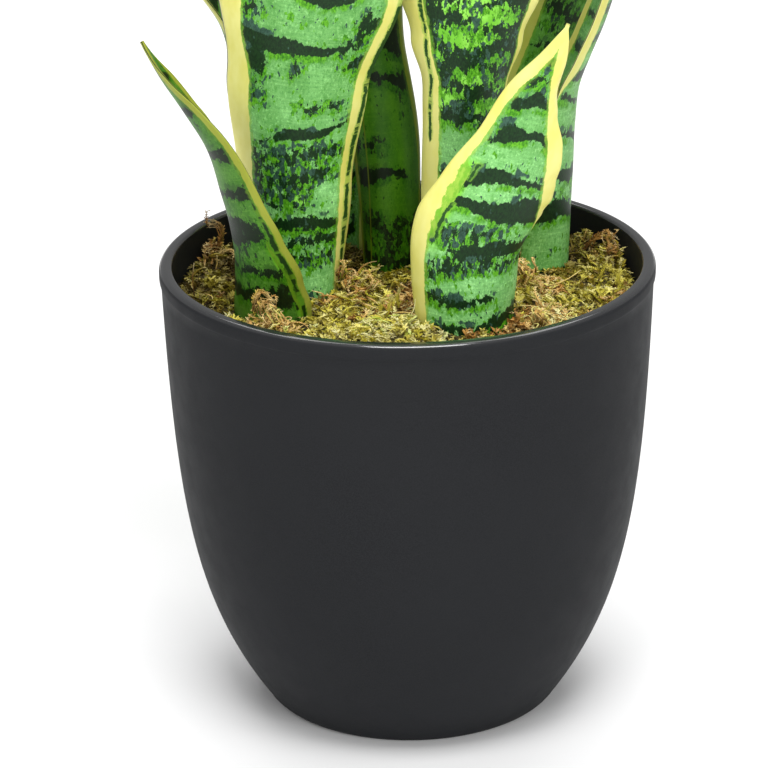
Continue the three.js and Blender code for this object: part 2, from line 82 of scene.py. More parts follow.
# Each leaf by distance d in mm from the moss along its keel, and by s from -1 at the left edge to
# 1 at the right. The leaves without bands of their own have seeded ones all the way.
#   keel         points on the middle line of the outer face
#   bearing      (d, the way the outer face looks, in degrees from the front)
#   width, curl  (d, mm round the curl), (d, degrees from edge to edge)
#   bands        (d, half thickness, from s, to s, sag at the middle, slope, how torn)
#   holes        light patches in a dark ground (d, half height, s, half width in s)
#   patches      torn patches (d, half height, s, half width in s, strength)
#   left, right  margin widths (d, mm)
#   dash_left, dash_right, dash_half   the dashed line from each edge, and half its width (d, mm)
#   seam         a pale line from the left edge (d, mm)
#   wave         how far the right edge waves out (d, mm)
#   lip          how far the back cloth stands out past the front one on the left (d, mm)
#   tip          how long the taper to the tip is; power and sharpness shape it
#   lime, olive  how lime the ground is, and the painted shade that darkens the whole leaf towards
#   a dull yellow-green
LEAVES = {
    "leaf_tall_front_left": dict(
        keel=[(-38, -17.3, 138), (-38.2, -20, 180), (-35.3, -25, 219), (-29.8, -30, 253),
              (-18, -38, 340), (-8, -48, 470), (-14, -62, 640), (-34, -84, 880)],
        bearing=[(0, -10), (120, 0), (400, -8), (750, -20)],
        width=[(0, 44), (46, 47.5), (83, 52), (117, 64), (170, 70), (400, 66), (560, 54)],
        curl=[(0, 190), (46, 132), (83, 100), (117, 75), (220, 60), (745, 40)],
        bands=[(118.5, 3.2, -0.12, 0.5, -2.5, 0, 0.2), (109, 1.6, -0.95, -0.6, 0, 0, 0.9),
               (101, 3.0, -0.8, 0.62, -3.8, 0, 0.2), (92, 4.6, -0.82, -0.46, 0, 0.5, 0.25),
               (99, 4.5, 0.6, 0.84, 0, 14, 0.6), (91, 3.0, 0.62, 0.82, 0, 4, 0.7),
               (83.5, 1.4, -0.8, -0.6, 0, 0, 0.9), (79, 1.1, -0.75, -0.55, 0, 0, 0.9),
               (77, 1.0, 0.2, 0.5, 0, 3, 0.7), (67.5, 2.0, -0.2, 0.72, -1.2, 6.0, 0.2),
               (60, 1.8, -0.7, 0.8, 1.5, 0, 0.8), (55.5, 6.0, -0.84, -0.5, 0, 0, 0.45),
               (55, 2.0, -0.5, 0.5, -1, -3, 0.9), (50.5, 2.2, -0.85, 0.1, 0, 0, 0.9),
               (46, 1.6, -0.5, 0.0, 0, 0, 1.0), (35.5, 2.2, -0.3, 0.85, 0, -0.8, 0.5),
               (22.5, 1.3, -0.3, 0.55, 0, 2, 0.9), (29.5, 1.5, -0.3, 0.9, 0, 0, 0.6),
               (9, 2.0, -0.9, 0.3, 0, 0, 0.3), (89.7, 4.4, -0.03, -0.06, 0, 0, 0.3)],
        patches=[(54, 8, -0.15, 0.85, 1.0), (44, 5, -0.1, 0.7, 0.8), (109, 6, -0.62, 0.3, 0.75),
                 (80, 7, -0.72, 0.25, 0.75), (32.5, 4, 0.2, 0.7, 0.6), (95, 12, 0.7, 0.16, 0.65),
                 (119, 5, -0.7, 0.3, 0.7), (107, 4, 0.05, 0.5, 0.42), (86, 3, -0.5, 0.3, 0.5),
                 (20, 6, 0.3, 0.6, 0.6)],
        left=[(0, 8), (60, 10.2), (80, 10), (97, 7.6), (112, 9.0), (300, 7.0), (700, 4)],
        right=[(0, 6.4), (60, 6.2), (118, 5.8), (300, 6), (700, 4)],
        dash_right=[(0, 2.9), (40, 2.8), (60, 2.3), (80, 1.2), (95, 0.6), (118, 0.3)],
        dash_half=[(0, 1.0), (50, 0.9), (80, 0.8), (95, 1.4), (110, 1.2), (122, 0.4)],
        lip=[(62, 0), (80, 1)],
        tip=260),
    "leaf_short_left": dict(
        keel=[(-50.2, -34, 138), (-53, -35, 165), (-58.2, -35, 188), (-63.8, -34, 205),
              (-71, -32.5, 217), (-78, -31, 228), (-84, -29, 239)],
        bearing=[(0, -32), (50, -65), (80, -84), (100, -96), (125, -92)],
        width=[(0, 47), (9, 46), (20, 40.8), (35, 34.5), (50, 32.8), (80, 39), (125, 36)],
        curl=[(0, 200), (60, 110), (125, 70)],
        bands=[(108, 2.2, -0.7, 0.7, 0, 0, 0.2), (96, 2.0, -0.7, 0.7, 0, 1, 0.2),
               (83, 2.2, -0.8, 0.75, 0, 0, 0.25), (67.5, 2.8, -0.9, 0.72, -1, 0, 0.3),
               (54, 2.8, -0.95, 0.7, -1, 0, 0.3), (39.5, 4.6, -0.95, 0.6, 1, -1, 0.4),
               (26.5, 2.2, -0.9, 0.8, 0, -1, 0.4), (17.5, 5.0, -0.9, 0.66, 0, -1, 0.35),
               (4, 2.5, -0.8, 0.8, 0, 0, 0.3)],
        patches=[(31, 5, 0, 0.7, 0.7), (47, 3, -0.2, 0.5, 0.4), (19, 6, 0, 0.7, 0.5)],
        left=[(0, 2.6), (120, 2.4)],
        right=[(0, 2.9), (40, 2.3), (120, 2.1)],
        # The dark line just inside the right margin is painted shade along the margin's curl.
        dash_right=[(0, 3.9), (50, 3.1)],
        dash_half=[(0, 0.75), (34, 0.7), (48, 0.3), (54, -1)],
        tip=70, power=1.3, lime=0.1, olive_shade=0.88),
    "leaf_tall_centre": dict(
        keel=[(-4.5, 5.5, 138), (-5.6, 7, 190), (-10.2, 9, 225), (-14, 11, 252), (-21, 17, 400),
              (-24, 26, 600), (-24, 42, 790)],
        bearing=[(0, 5), (150, 10), (650, 0)],
        width=[(0, 32), (50, 33), (84, 30.5), (130, 41), (250, 56), (450, 52)],
        curl=[(0, 200), (80, 150), (130, 110), (250, 80), (650, 50)],
        # The two widest bands, at the top, are painted shade over the part of the leaf that lies
        # in shadow.
        bands=[(118, 9.0, -1.2, 1.2, 0, 0, 0.3), (94, 15, -1.2, 1.2, 0, 0, 0.3),
               (77, 3.6, -1.1, 0.9, 0, -3, 0.4), (53, 1.3, -0.75, -0.35, 0, 0, 0.8),
               (43.5, 3.0, -0.95, 0.25, 0, 0, 0.2), (26, 2.6, -0.6, 0.9, 0, 0, 0.85),
               (14, 3.0, -0.8, 0.9, 0, 0, 0.8)],
        patches=[(19, 13, 0.1, 0.9, 0.9), (66, 5, 0.5, 0.4, 0.6)],
        left=[(0, 3.5), (600, 4)],
        right=[(0, 4.5), (600, 4)],
        seam=[(0, 8.0), (60, 8.6), (110, 9.4)],
        tip=260, lime=0.45, olive_shade=1.0),
    "leaf_tall_front_right": dict(
        keel=[(17.6, -18, 138), (18.4, -18, 180), (20.1, -18.5, 215), (21.8, -19, 248),
              (25, -20, 290), (34, -23, 400), (40, -31, 600), (54, -50, 900)],
        bearing=[(0, 5), (110, 4), (300, 10), (760, 25)],
        width=[(0, 40), (60, 40), (80, 42), (94, 47.5), (112, 52), (200, 62), (500, 58)],
        curl=[(0, 190), (76, 176), (95, 140), (112, 95), (200, 70), (760, 45)],
        bands=[(52, 2.2, -0.7, 0.9, 0, 0, 0.3), (38, 2.4, -0.8, 0.9, 0, 0, 0.3),
               (24, 2.2, -0.8, 0.9, 0, 0, 0.3), (128, 3.0, -0.8, 0.9, 0, 0, 0.6)],
        holes=[(105.3, 3.4, 0.3, 0.3), (98.5, 3.9, -0.2, 0.27), (97.5, 2.8, 0.16, 0.2),
               (85.2, 2.9, 0.1, 0.34), (77.2, 3.2, -0.36, 0.24), (75, 2.4, 0.28, 0.22),
               (67.0, 2.4, -0.2, 0.5), (104, 2.4, 0.56, 0.16), (108.5, 1.8, -0.12, 0.24),
               (91, 2.0, -0.5, 0.16), (90, 1.8, 0.5, 0.2), (113, 3.2, 0.1, 0.3),
               (119, 3.4, -0.3, 0.4), (122, 3.0, 0.4, 0.3), (81, 1.4, 0.6, 0.2)],
        patches=[(90, 30, 0.1, 1.2, 0.72)],
        left=[(0, 11), (60, 11), (82, 11), (112, 9.4), (300, 7), (700, 5)],
        right=[(0, 4), (100, 4.6), (700, 4)],
        dash_left=[(60, 6.8), (75, 7.0), (91, 8.4), (112, 8.4)],
        dash_half=[(56, -1), (64, 0.6), (120, 0.6)],
        tip=300, lime=1.0),
    "leaf_short_front_right": dict(
        keel=[(25.2, -48.5, 138), (24.4, -49.3, 157), (24.9, -50, 174), (29.8, -50, 191),
              (35.2, -49.5, 206.5), (41, -48.5, 225), (46.8, -48, 237), (51.2, -47, 248.5)],
        bearing=[(0, 25), (55, 20), (75, 12), (120, 6)],
        width=[(0, 50.5), (36, 53), (57, 49), (75, 46.3), (90, 49.3), (120, 50)],
        curl=[(0, 185), (25, 160), (55, 112), (70, 90), (120, 60)],
        bands=[(112, 2.4, -0.5, 0.5, 0, 0, 0.3), (102.5, 2.8, -0.6, 0.85, 0, 0, 0.5),
               (95.5, 1.8, -0.6, 0.7, 0, 1.5, 0.8), (87, 2.4, -0.5, 0.74, 1, 0, 0.2),
               (75.3, 3.4, -0.52, 0.72, 1.4, 1.2, 0.25), (60, 2.5, -0.56, 0.7, 1.2, 1.2, 0.25),
               (50.5, 4.2, -0.56, 0.95, 0.8, -0.6, 0.2), (41, 1.5, -0.6, 0.1, 0, 0, 1.0),
               (35.5, 3.1, -0.45, 1.0, 0.6, 0.8, 0.2), (30.5, 1.6, -0.65, 0.85, 0, -0.4, 0.85),
               (19, 1.6, -0.8, 0.1, 0, -4.2, 0.35), (11, 2.0, -0.9, 1.0, 0, 0, 0.5)],
        patches=[(41, 4.5, -0.1, 0.8, 0.72), (29, 3, -0.1, 0.8, 0.5), (96, 6, 0.1, 0.7, 0.7),
                 (12, 3.0, -0.5, 0.5, 0.5), (22, 5, -0.7, 0.3, 0.62), (68, 3, 0.1, 0.7, 0.35),
                 (45, 3, 0.3, 0.4, 0.5), (4, 3, 0.0, 0.9, 0.6)],
        left=[(0, 4.8), (22, 6.0), (36, 6.7), (46, 6.6), (55, 4.8), (65, 3.8), (78, 3.2),
              (91, 3.9), (100, 4.8), (107, 7.0), (120, 8)],
        right=[(28, 0), (45, 4.2), (60, 5.4), (95, 5.2), (107, 7.4), (120, 8)],
        dash_left=[(36, 9.6), (48, 9.4), (66, 8.2)],
        dash_half=[(36, -1), (38.5, 0.6), (49, 0.6), (51, -1), (56, -1), (58, 0.5), (64, 0.5),
                   (66, -1)],
        wave=[(44, 0), (50, 1.0), (56, 3.3), (60, 3.0), (64, 2.2), (70, 2.6), (75, 2.4),
              (85, -0.6), (95, -2.6), (106, -1.4), (116, 0)],
        tip=72, power=1.2, sharpness=2),
    "leaf_middle_right": dict(
        keel=[(52.8, 18, 138), (55.3, 18, 175), (56.4, 17.5, 196), (58, 17.5, 210),
              (61.5, 17, 220), (65.8, 16.5, 231), (70.5, 16, 246), (79, 15, 275), (89, 13, 340),
              (97, 10, 440), (112, 4, 560)],
        bearing=[(0, 62), (40, 76), (70, 88), (100, 90), (430, 98)],
        width=[(0, 37), (60, 34), (90, 32), (130, 33), (250, 43)],
        curl=[(0, 190), (60, 110), (85, 80), (110, 72), (430, 50)],
        bands=[(92, 2.4, -0.9, 0.9, 0, 2, 0.2), (79, 2.2, -0.9, 0.9, 0, 2, 0.2),
               (66, 2.2, -0.9, 0.9, 0, -3.5, 0.2), (54.5, 2.0, -0.9, 0.9, 0, -3.5, 0.2),
               (41, 2.4, -0.9, 0.9, 0, -3, 0.3), (27, 3.8, -0.9, 0.9, 0, -3, 0.4),
               (6, 2.0, -0.9, 0.9, 0, 0, 0.3)],
        patches=[(33, 7, 0, 0.9, 0.65), (12, 5, 0, 0.9, 0.5), (60, 4, 0.2, 0.6, 0.5)],
        left=[(66, -1), (82, 4.2), (110, 4.8), (400, 4)],
        right=[(0, 3), (400, 3.5)],
        tip=200, olive_shade=0.22),
    "leaf_tall_back_right": dict(
        keel=[(32.7, 47.2, 138), (39.5, 52, 165), (50, 58.5, 195), (60, 64, 221), (70, 68, 250),
              (84.5, 73, 300), (100.5, 80.5, 400), (110, 90, 540), (116, 106, 680)],
        bearing=[(0, 140), (80, 112), (560, 110)],
        width=[(0, 36), (100, 42), (200, 50), (400, 48)],
        curl=[(0, 185), (100, 90), (560, 50)],
        tip=250, lime=0.3, olive_shade=0.6),
    "leaf_middle_back_left": dict(
        keel=[(-55.5, 28.5, 138), (-55.5, 31, 180), (-56, 34, 209), (-60, 37, 229), (-72, 39, 247),
              (-92, 42, 268), (-112, 46, 300), (-128, 50, 345)],
        bearing=[(0, -125), (70, -112), (260, -105)],
        width=[(0, 34), (100, 40), (160, 45), (260, 44)],
        curl=[(0, 180), (100, 90), (260, 60)],
        tip=150, lime=0.3, olive_shade=0.5),
    "leaf_tall_back_left": dict(
        keel=[(-25.5, 46, 138), (-25.5, 48, 190), (-29, 50, 240), (-36, 54, 400), (-44, 63, 600),
              (-60, 84, 840)],
        bearing=[(0, -176), (100, -170), (700, -150)],
        width=[(0, 33), (100, 38), (240, 56), (450, 52)],
        curl=[(0, 180), (100, 120), (240, 70), (700, 45)],
        tip=280),
    "leaf_short_back_left": dict(
        keel=[(-14.4, 68.6, 138), (-15, 72, 165), (-18, 79, 200), (-23, 90, 250), (-31, 104, 330)],
        bearing=[(0, -172), (200, -165)],
        width=[(0, 32), (60, 38), (120, 42)],
        curl=[(0, 185), (60, 120), (200, 60)],
        tip=120),
}


# ---------------------------------------------------------------- numbers and meshes
def smooth(x, low, high):
    k = np.clip((x - low) / (high - low), 0, 1)
    return k * k * (3 - 2 * k)


def ramp(stations, d):
    """Smooth interpolation through (distance, value) stations."""
    d = np.asarray(d, float)
    out = np.full(d.shape, float(stations[0][1]))
    for (d0, v0), (d1, v1) in zip(stations, stations[1:]):
        out = np.where(d > d0, v0 + (v1 - v0) * smooth(d, d0, d1), out)
    return out


def unit(v):
    return v / np.maximum(np.linalg.norm(v, axis=-1, keepdims=True), 1e-9)


def bezier(control, t):
    """Points on a cubic curve of four control points."""
    t = np.asarray(t, float)[:, None]
    p = np.array(control, float)
    return ((1 - t) ** 3 * p[0] + 3 * (1 - t) ** 2 * t * p[1]
            + 3 * (1 - t) * t ** 2 * p[2] + t ** 3 * p[3])


def rgb(*values):
    """A colour given as 0 to 255, as the shader wants it."""
    c = np.array(values, float) / 255
    return tuple(np.where(c <= 0.04045, c / 12.92, ((c + 0.055) / 1.055) ** 2.4)) + (1.0,)


def into_scene(name, data):
    obj = bpy.data.objects.new(name, data)
    bpy.context.scene.collection.objects.link(obj)
    return obj


def make_object(name, points, face_groups):
    """Points in mm; each group of faces is an array with one row of point numbers a face."""
    mesh = bpy.data.meshes.new(name)
    points = np.asarray(points, float) * MM
    loops = np.concatenate([f.ravel() for f in face_groups])
    sizes = np.concatenate([np.full(len(f), f.shape[1]) for f in face_groups])
    starts = np.concatenate([[0], np.cumsum(sizes)[:-1]])
    mesh.vertices.add(len(points))
    mesh.vertices.foreach_set("co", points.astype(np.float32).ravel())
    mesh.loops.add(len(loops))
    mesh.loops.foreach_set("vertex_index", loops.astype(np.int32))
    mesh.polygons.add(len(sizes))
    mesh.polygons.foreach_set("loop_start", starts.astype(np.int32))
    mesh.update(calc_edges=True)
    mesh.polygons.foreach_set("use_smooth", np.full(len(sizes), True))
    mesh.validate()
    return into_scene(name, mesh)


def ring_solid(name, rings, first, last, downward=False):
    """A closed surface of rings between two points on the axis, which are given by height."""
    n, segments = rings.shape[:2]
    points = np.concatenate([[[0, 0, first]], rings.reshape(-1, 3), [[0, 0, last]]])
    j = np.arange(segments)
    k = (j + 1) % segments
    a = 1 + np.arange(n - 1)[:, None] * segments
    b = a + segments
    if downward:
        quads = np.stack([a + j, b + j, b + k, a + k], -1)
        j, k = k, j
    else:
        quads = np.stack([a + j, a + k, b + k, b + j], -1)
    end = 1 + (n - 1) * segments
    start_cap = np.stack([np.zeros_like(j), 1 + k, 1 + j], 1)
    end_cap = np.stack([np.full_like(j, len(points) - 1), end + j, end + k], 1)
    return make_object(name, points, [quads.reshape(-1, 4), start_cap, end_cap])


def tube_solid(name, rings):
    """A closed surface of rings, with one face at each end."""
    rows, count = rings.shape[:2]
    i = np.arange(rows - 1)[:, None] * count
    j = np.arange(count)[None, :]
    k = (j + 1) % count
    quads = np.stack([i + j, i + k, i + count + k, i + count + j], -1).reshape(-1, 4)
    foot = np.arange(count)[::-1][None]
    head = ((rows - 1) * count + np.arange(count))[None]
    return make_object(name, rings.reshape(-1, 3), [quads, foot, head])


def store(obj, name, *values):
    """Stores three values at each point, for the material to read."""
    values = np.stack(np.broadcast_arrays(*values), -1)
    attribute = obj.data.attributes.new(name, "FLOAT_VECTOR", "POINT")
    attribute.data.foreach_set("vector", values.astype(np.float32).ravel())


def set_uv(obj, u, v):
    layer = obj.data.uv_layers.new(name="OFBake")
    layer.uv.foreach_set("vector", np.stack([u, v], -1).astype(np.float32).ravel())


def loop_vertices(obj):
    out = np.zeros(len(obj.data.loops), np.int32)
    obj.data.loops.foreach_get("vertex_index", out)
    return out


def set_material(obj, material):
    obj.data.materials.clear()
    obj.data.materials.append(material)


def as_piece(obj, material, slot, *nodes):
    set_material(obj, material)
    if nodes:
        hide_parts(*nodes)
    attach(obj, "root")


# ---------------------------------------------------------------- materials
class Graph:
    """A material's nodes, with a call for each kind that is used."""

    def __init__(self, name):
        self.material = bpy.data.materials.new(name)
        self.material.use_nodes = True
        self.tree = self.material.node_tree
        self.shader = self.tree.nodes["Principled BSDF"]

    def put(self, socket, value):
        if isinstance(value, bpy.types.NodeSocket):
            self.tree.links.new(value, socket)
        else:
            socket.default_value = value

    def node(self, kind, *values, **settings):
        """A new node with its settings, and values or links for its first inputs."""
        node = self.tree.nodes.new(kind)
        for key, value in settings.items():
            setattr(node, key, value)
        for socket, value in zip(node.inputs, values):
            self.put(socket, value)
        return node

    def math(self, operation, *values):
        return self.node("ShaderNodeMath", *values, operation=operation).outputs[0]

    def add(self, a, b):
        return self.math("ADD", a, b)

    def sub(self, a, b):
        return self.math("SUBTRACT", a, b)

    def mul(self, a, b):
        return self.math("MULTIPLY", a, b)

    def most(self, a, b):
        return self.math("MAXIMUM", a, b)

    def vector(self, operation, a, b):
        return self.node("ShaderNodeVectorMath", a, b, operation=operation).outputs[0]

    def split(self, vector):
        return tuple(self.node("ShaderNodeSeparateXYZ", vector).outputs)

    def stored(self, name):
        """The three values stored at each point under a name, apart."""
        return self.split(self.stored_vector(name))

    def stored_vector(self, name):
        return self.node("ShaderNodeAttribute", attribute_name=name).outputs["Vector"]

    def position(self):
        return self.node("ShaderNodeNewGeometry").outputs["Position"]

    def noise(self, vector, scale, detail, roughness):
        node = self.node("ShaderNodeTexNoise", vector)
        node.inputs["Scale"].default_value = scale
        node.inputs["Detail"].default_value = detail
        node.inputs["Roughness"].default_value = roughness
        return node.outputs[0]

    def step(self, value, low, high, start=0.0, end=1.0):
        return self.node("ShaderNodeMapRange", value, low, high, start, end,
                         interpolation_type="SMOOTHSTEP").outputs[0]

    def mix(self, factor, a, b, blend="MIX"):
        node = self.node("ShaderNodeMix", data_type="RGBA", blend_type=blend)
        for place, value in ((0, factor), (6, a), (7, b)):
            self.put(node.inputs[place], value)
        return node.outputs[2]

    def between(self, value, low, high, first, second):
        """One colour where the value is low, another where it is high."""
        return self.mix(self.step(value, low, high), rgb(*first), rgb(*second))

    def paint(self, base, amount, *colour):
        return self.mix(amount, base, rgb(*colour))

    def bump(self, height, distance, strength):
        node = self.node("ShaderNodeBump")
        node.inputs["Strength"].default_value = strength
        node.inputs["Distance"].default_value = distance
        self.put(node.inputs["Height"], height)
        return node.outputs[0]

    def set(self, **values):
        for key, value in values.items():
            self.put(self.shader.inputs[key.replace("_", " ")], value)
        return self.material


def pot_material():
    """Dark moulded plastic with a fine grain, glossy only on top of the lip."""
    g = Graph("pot_plastic")
    where = g.position()
    grain = g.noise(where, 2600, 2, 0.6)
    scuff = g.noise(where, 120, 4, 0.6)
    tone = g.between(g.noise(where, 14, 2, 0.5), 0.3, 0.7, (34, 35, 37), (37, 38, 40))
    tone = g.paint(tone, g.step(grain, 0.35, 0.65), 40, 41, 43)
    lip_top = g.step(g.split(where)[2], 0.1537, 0.1544)
    return g.set(Base_Color=tone, Roughness=g.step(scuff, 0.3, 0.75, 0.50, 0.58), IOR=1.49,
                 Specular_IOR_Level=0.05, Coat_Weight=lip_top, Coat_Roughness=0.14,
                 Coat_IOR=1.75, Normal=g.bump(grain, 0.00004, 0.35))


def filler_material():
    """Grey-brown cement with pits."""
    g = Graph("filler_cement")
    where = g.position()
    pits = g.noise(where, 700, 3, 0.6)
    tone = g.between(g.noise(where, 90, 5, 0.6), 0.35, 0.7, (118, 112, 102), (160, 154, 143))
    tone = g.paint(tone, g.step(pits, 0.6, 0.72), 84, 79, 71)
    return g.set(Base_Color=tone, Roughness=g.step(pits, 0.2, 0.8, 0.85, 0.97),
                 Normal=g.bump(pits, 0.0006, 0.7))


# ---------------------------------------------------------------- pot
def lip_arc(middle, roll, start, end, steps):
    """Points round one edge of the lip's top, from one angle to another."""
    angle = np.linspace(start, end, steps)
    return np.stack([middle + roll * np.cos(angle), POT_HEIGHT - roll + roll * np.sin(angle)], 1)


def pot_profile():
    """(radius, height) round the section, from the middle of the foot to the inside floor."""
    wall = bezier(OUTER_WALL, WALL_START + (1 - WALL_START) * np.linspace(0, 1, 70))
    t = np.linspace(0, 1, 9)[1:-1, None]
    flat_end, corner = np.array([(FOOT_RADIUS, 0), (FOOT_RADIUS + FOOT_BEVEL, 0)])
    fillet = (1 - t) ** 2 * flat_end + 2 * (1 - t) * t * corner + t ** 2 * wall[0]
    bead_bottom = POT_HEIGHT - BEAD_DEPTH
    return np.concatenate([
        [(r, 0) for r in np.linspace(0, FOOT_RADIUS, 12)], fillet, wall,
        [(RIM_RADIUS - back, bead_bottom + up) for back, up in BEAD_EDGE],
        lip_arc(RIM_RADIUS - LIP_OUTER_ROLL, LIP_OUTER_ROLL, 0, math.pi / 2, 13),
        lip_arc(RIM_INNER_RADIUS + LIP_INNER_ROLL, LIP_INNER_ROLL, math.pi / 2, math.pi, 9),
        bezier(INNER_WALL, np.linspace(1, 0, 40)),
        [(r, FLOOR_THICKNESS) for r in np.linspace(INNER_FLOOR_RADIUS, 0, 10)],
    ])


def lathe(name, profile, segments):
    angle = np.linspace(0, 2 * math.pi, segments, endpoint=False)
    r, z = profile[1:-1, :1], profile[1:-1, 1:]
    rings = np.stack(np.broadcast_arrays(r * np.cos(angle), r * np.sin(angle), z), -1)
    return ring_solid(name, rings, profile[0, 1], profile[-1, 1])


as_piece(lathe("pot_shell", pot_profile(), 256), pot_material(), "pot_plastic", "pot")
set_material(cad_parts["filler_block"], filler_material())


# ---------------------------------------------------------------- leaf shape
class Keel:
    """The keel curve: a Catmull-Rom curve with chordal spacing, measured along its length."""

    def __init__(self, leaf):
        keel = np.array(leaf["keel"], float)
        root = keel[0] + unit(keel[0] - keel[1]) * ROOT_DEPTH
        p = np.concatenate([[root], keel])
        p = np.concatenate([[2 * p[0] - p[1]], p, [2 * p[-1] - p[-2]]])
        t = np.linspace(0, 1, 160, endpoint=False)[:, None]
        pieces = []
        for p0, p1, p2, p3 in zip(p, p[1:], p[2:], p[3:]):
            a, b, c = (np.linalg.norm(step) for step in (p1 - p0, p2 - p1, p3 - p2))
            m1 = ((p1 - p0) / a - (p2 - p0) / (a + b) + (p2 - p1) / b) * b
            m2 = ((p2 - p1) / b - (p3 - p1) / (b + c) + (p3 - p2) / c) * b
            pieces.append(p1 + m1 * t + (-3 * p1 + 3 * p2 - 2 * m1 - m2) * t ** 2
                          + (2 * p1 - 2 * p2 + m1 + m2) * t ** 3)
        self.points = np.concatenate(pieces + [p[-2:-1]])
        steps = np.linalg.norm(np.diff(self.points, axis=0), axis=1)
        self.at = np.concatenate([[0], np.cumsum(steps)])
        self.length = self.at[-1]
        self.rise = self.length - ROOT_DEPTH

    def point(self, d):
        d = np.clip(d + ROOT_DEPTH, 0, self.length)
        return np.stack([np.interp(d, self.at, self.points[:, i]) for i in range(3)], -1)

    def tangent(self, d):
        low = np.clip(d - 0.5, -ROOT_DEPTH, self.rise - 1)
        return unit(self.point(low + 1) - self.point(low))


def leaf_width(leaf, keel, d):
    x = np.clip((d - (keel.rise - leaf["tip"])) / leaf["tip"], 0, 1)
    narrow = np.maximum(1 - x ** leaf.get("power", 1.7), 0) ** (leaf.get("sharpness", 1.6) / 2)
    return np.maximum(ramp(leaf["width"], d) * narrow, 1.2)


def leaf_surface(leaf, keel, d, s, depth, push=0.0):
    """Points at distances d (rows) and places s (columns, -1 to 1 from edge to edge); depth and
    push in mm behind and out of the outer face."""
    along = keel.tangent(d)
    bearing = np.radians(ramp(leaf["bearing"], d))
    out = np.stack([np.sin(bearing), -np.cos(bearing), np.zeros_like(bearing)], -1)
    out -= along * (out * along).sum(-1, keepdims=True)
    out /= np.linalg.norm(out, axis=-1, keepdims=True)
    side = np.cross(along, out)
    width = leaf_width(leaf, keel, d)[:, None]
    curl = np.radians(ramp(leaf["curl"], d))[:, None] * np.minimum(1, width / 12)
    radius = width / curl
    angle = s * curl / 2
    reach = radius - depth + push
    lateral = reach * np.sin(angle)
    inward = radius - reach * np.cos(angle)
    return (keel.point(d)[:, None, :] + side[:, None, :] * lateral[..., None]
            - out[:, None, :] * inward[..., None])


def sheet_thickness(keel, d, s):
    fade = np.minimum(1, (keel.rise - d[:, None]) / 30 + 0.35)
    return MARGIN_THICKNESS + (LEAF_THICKNESS - MARGIN_THICKNESS) * (1 - s[None, :] ** 4) * fade


# ---------------------------------------------------------------- leaf print
HOLES_FROM, HOLES_TO = 66.0, 126.0
PLAIN_MARGIN = [(0, 4)]
NO_LIP = [(0, 0)]
NO_LINE = [(0, -50.0)]
NO_BAND = -30.0
BELOW_SHIFT, ABOVE_SHIFT = -2.2, 1.9  # to the bands' places just below and above a point
BACK_PRINT_SHIFT = 200.0  # the back of a leaf has its own stretch of the noises, that far off


def print_field(leaf, d, s, half_width, rng):
    """How far inside a dark band each place is, in mm, and how torn the print is there."""
    d, s = np.broadcast_arrays(d, s)
    top = float(d.max())
    inside = np.full(d.shape, NO_BAND)
    torn = np.full(d.shape, 0.12)
    bands = list(leaf.get("bands", []))
    at = max([b[0] for b in bands], default=0) + rng.uniform(9, 14)
    while at < top:
        wide = rng.uniform(0.6, 1.0)
        mid = rng.uniform(-1, 1) * (1 - wide)
        bands.append((at, rng.uniform(1.5, 3.6), mid - wide, mid + wide, rng.uniform(-3, 2),
                      rng.uniform(-2.5, 2.5), rng.choice([0.1, 0.2, 0.4, 0.8])))
        at += rng.uniform(8, 17)
    for place, half, low, high, sag, slope, tear in bands:
        phase = rng.uniform(0, 6.3)
        wave = 0.9 * np.sin(s * 3.1 + phase) + 0.5 * np.sin(s * 7.3 + 2 * phase)
        across = (s - (low + high) / 2) / max((high - low) / 2, 0.05)
        centre = place + sag * (1 - across ** 2) + slope * s + wave
        thick = half * (0.75 + 0.35 * np.cos(across * 2.2 + phase))
        ends = np.minimum(s - low, high - s) * half_width * 0.6 + 0.8
        field = np.minimum(thick - np.abs(d - centre), ends)
        torn = np.where(field > -2.5, np.maximum(torn, tear), torn)
        inside = np.maximum(inside, field)
    patches = list(leaf.get("patches", []))
    at = max([p[0] for p in patches], default=0) + 30
    while at < top:
        patches.append((at, rng.uniform(5, 12), rng.uniform(-0.4, 0.4), rng.uniform(0.5, 0.9),
                        rng.uniform(0.5, 0.95)))
        at += rng.uniform(25, 60)
    holes = leaf.get("holes", [])
    if holes:
        ground = np.where((d > HOLES_FROM) & (d < HOLES_TO), 1.6, NO_BAND)
        for place, half, mid, wide in holes:
            k = np.sqrt(((d - place) / half) ** 2 + ((s - mid) / wide) ** 2)
            ground = np.minimum(ground, (k - 1) * half)
        inside = np.maximum(inside, ground)
    for place, half, mid, wide, strength in patches:
        k = ((d - place) / half) ** 2 + ((s - mid) / wide) ** 2
        here = strength * np.clip(1.35 - k, 0, 1)
        torn = np.maximum(torn, here)
        if not holes:
            inside = np.maximum(inside, -0.6 - 7 * (1 - np.clip(here * 1.3, 0, 1)))
    return inside, torn


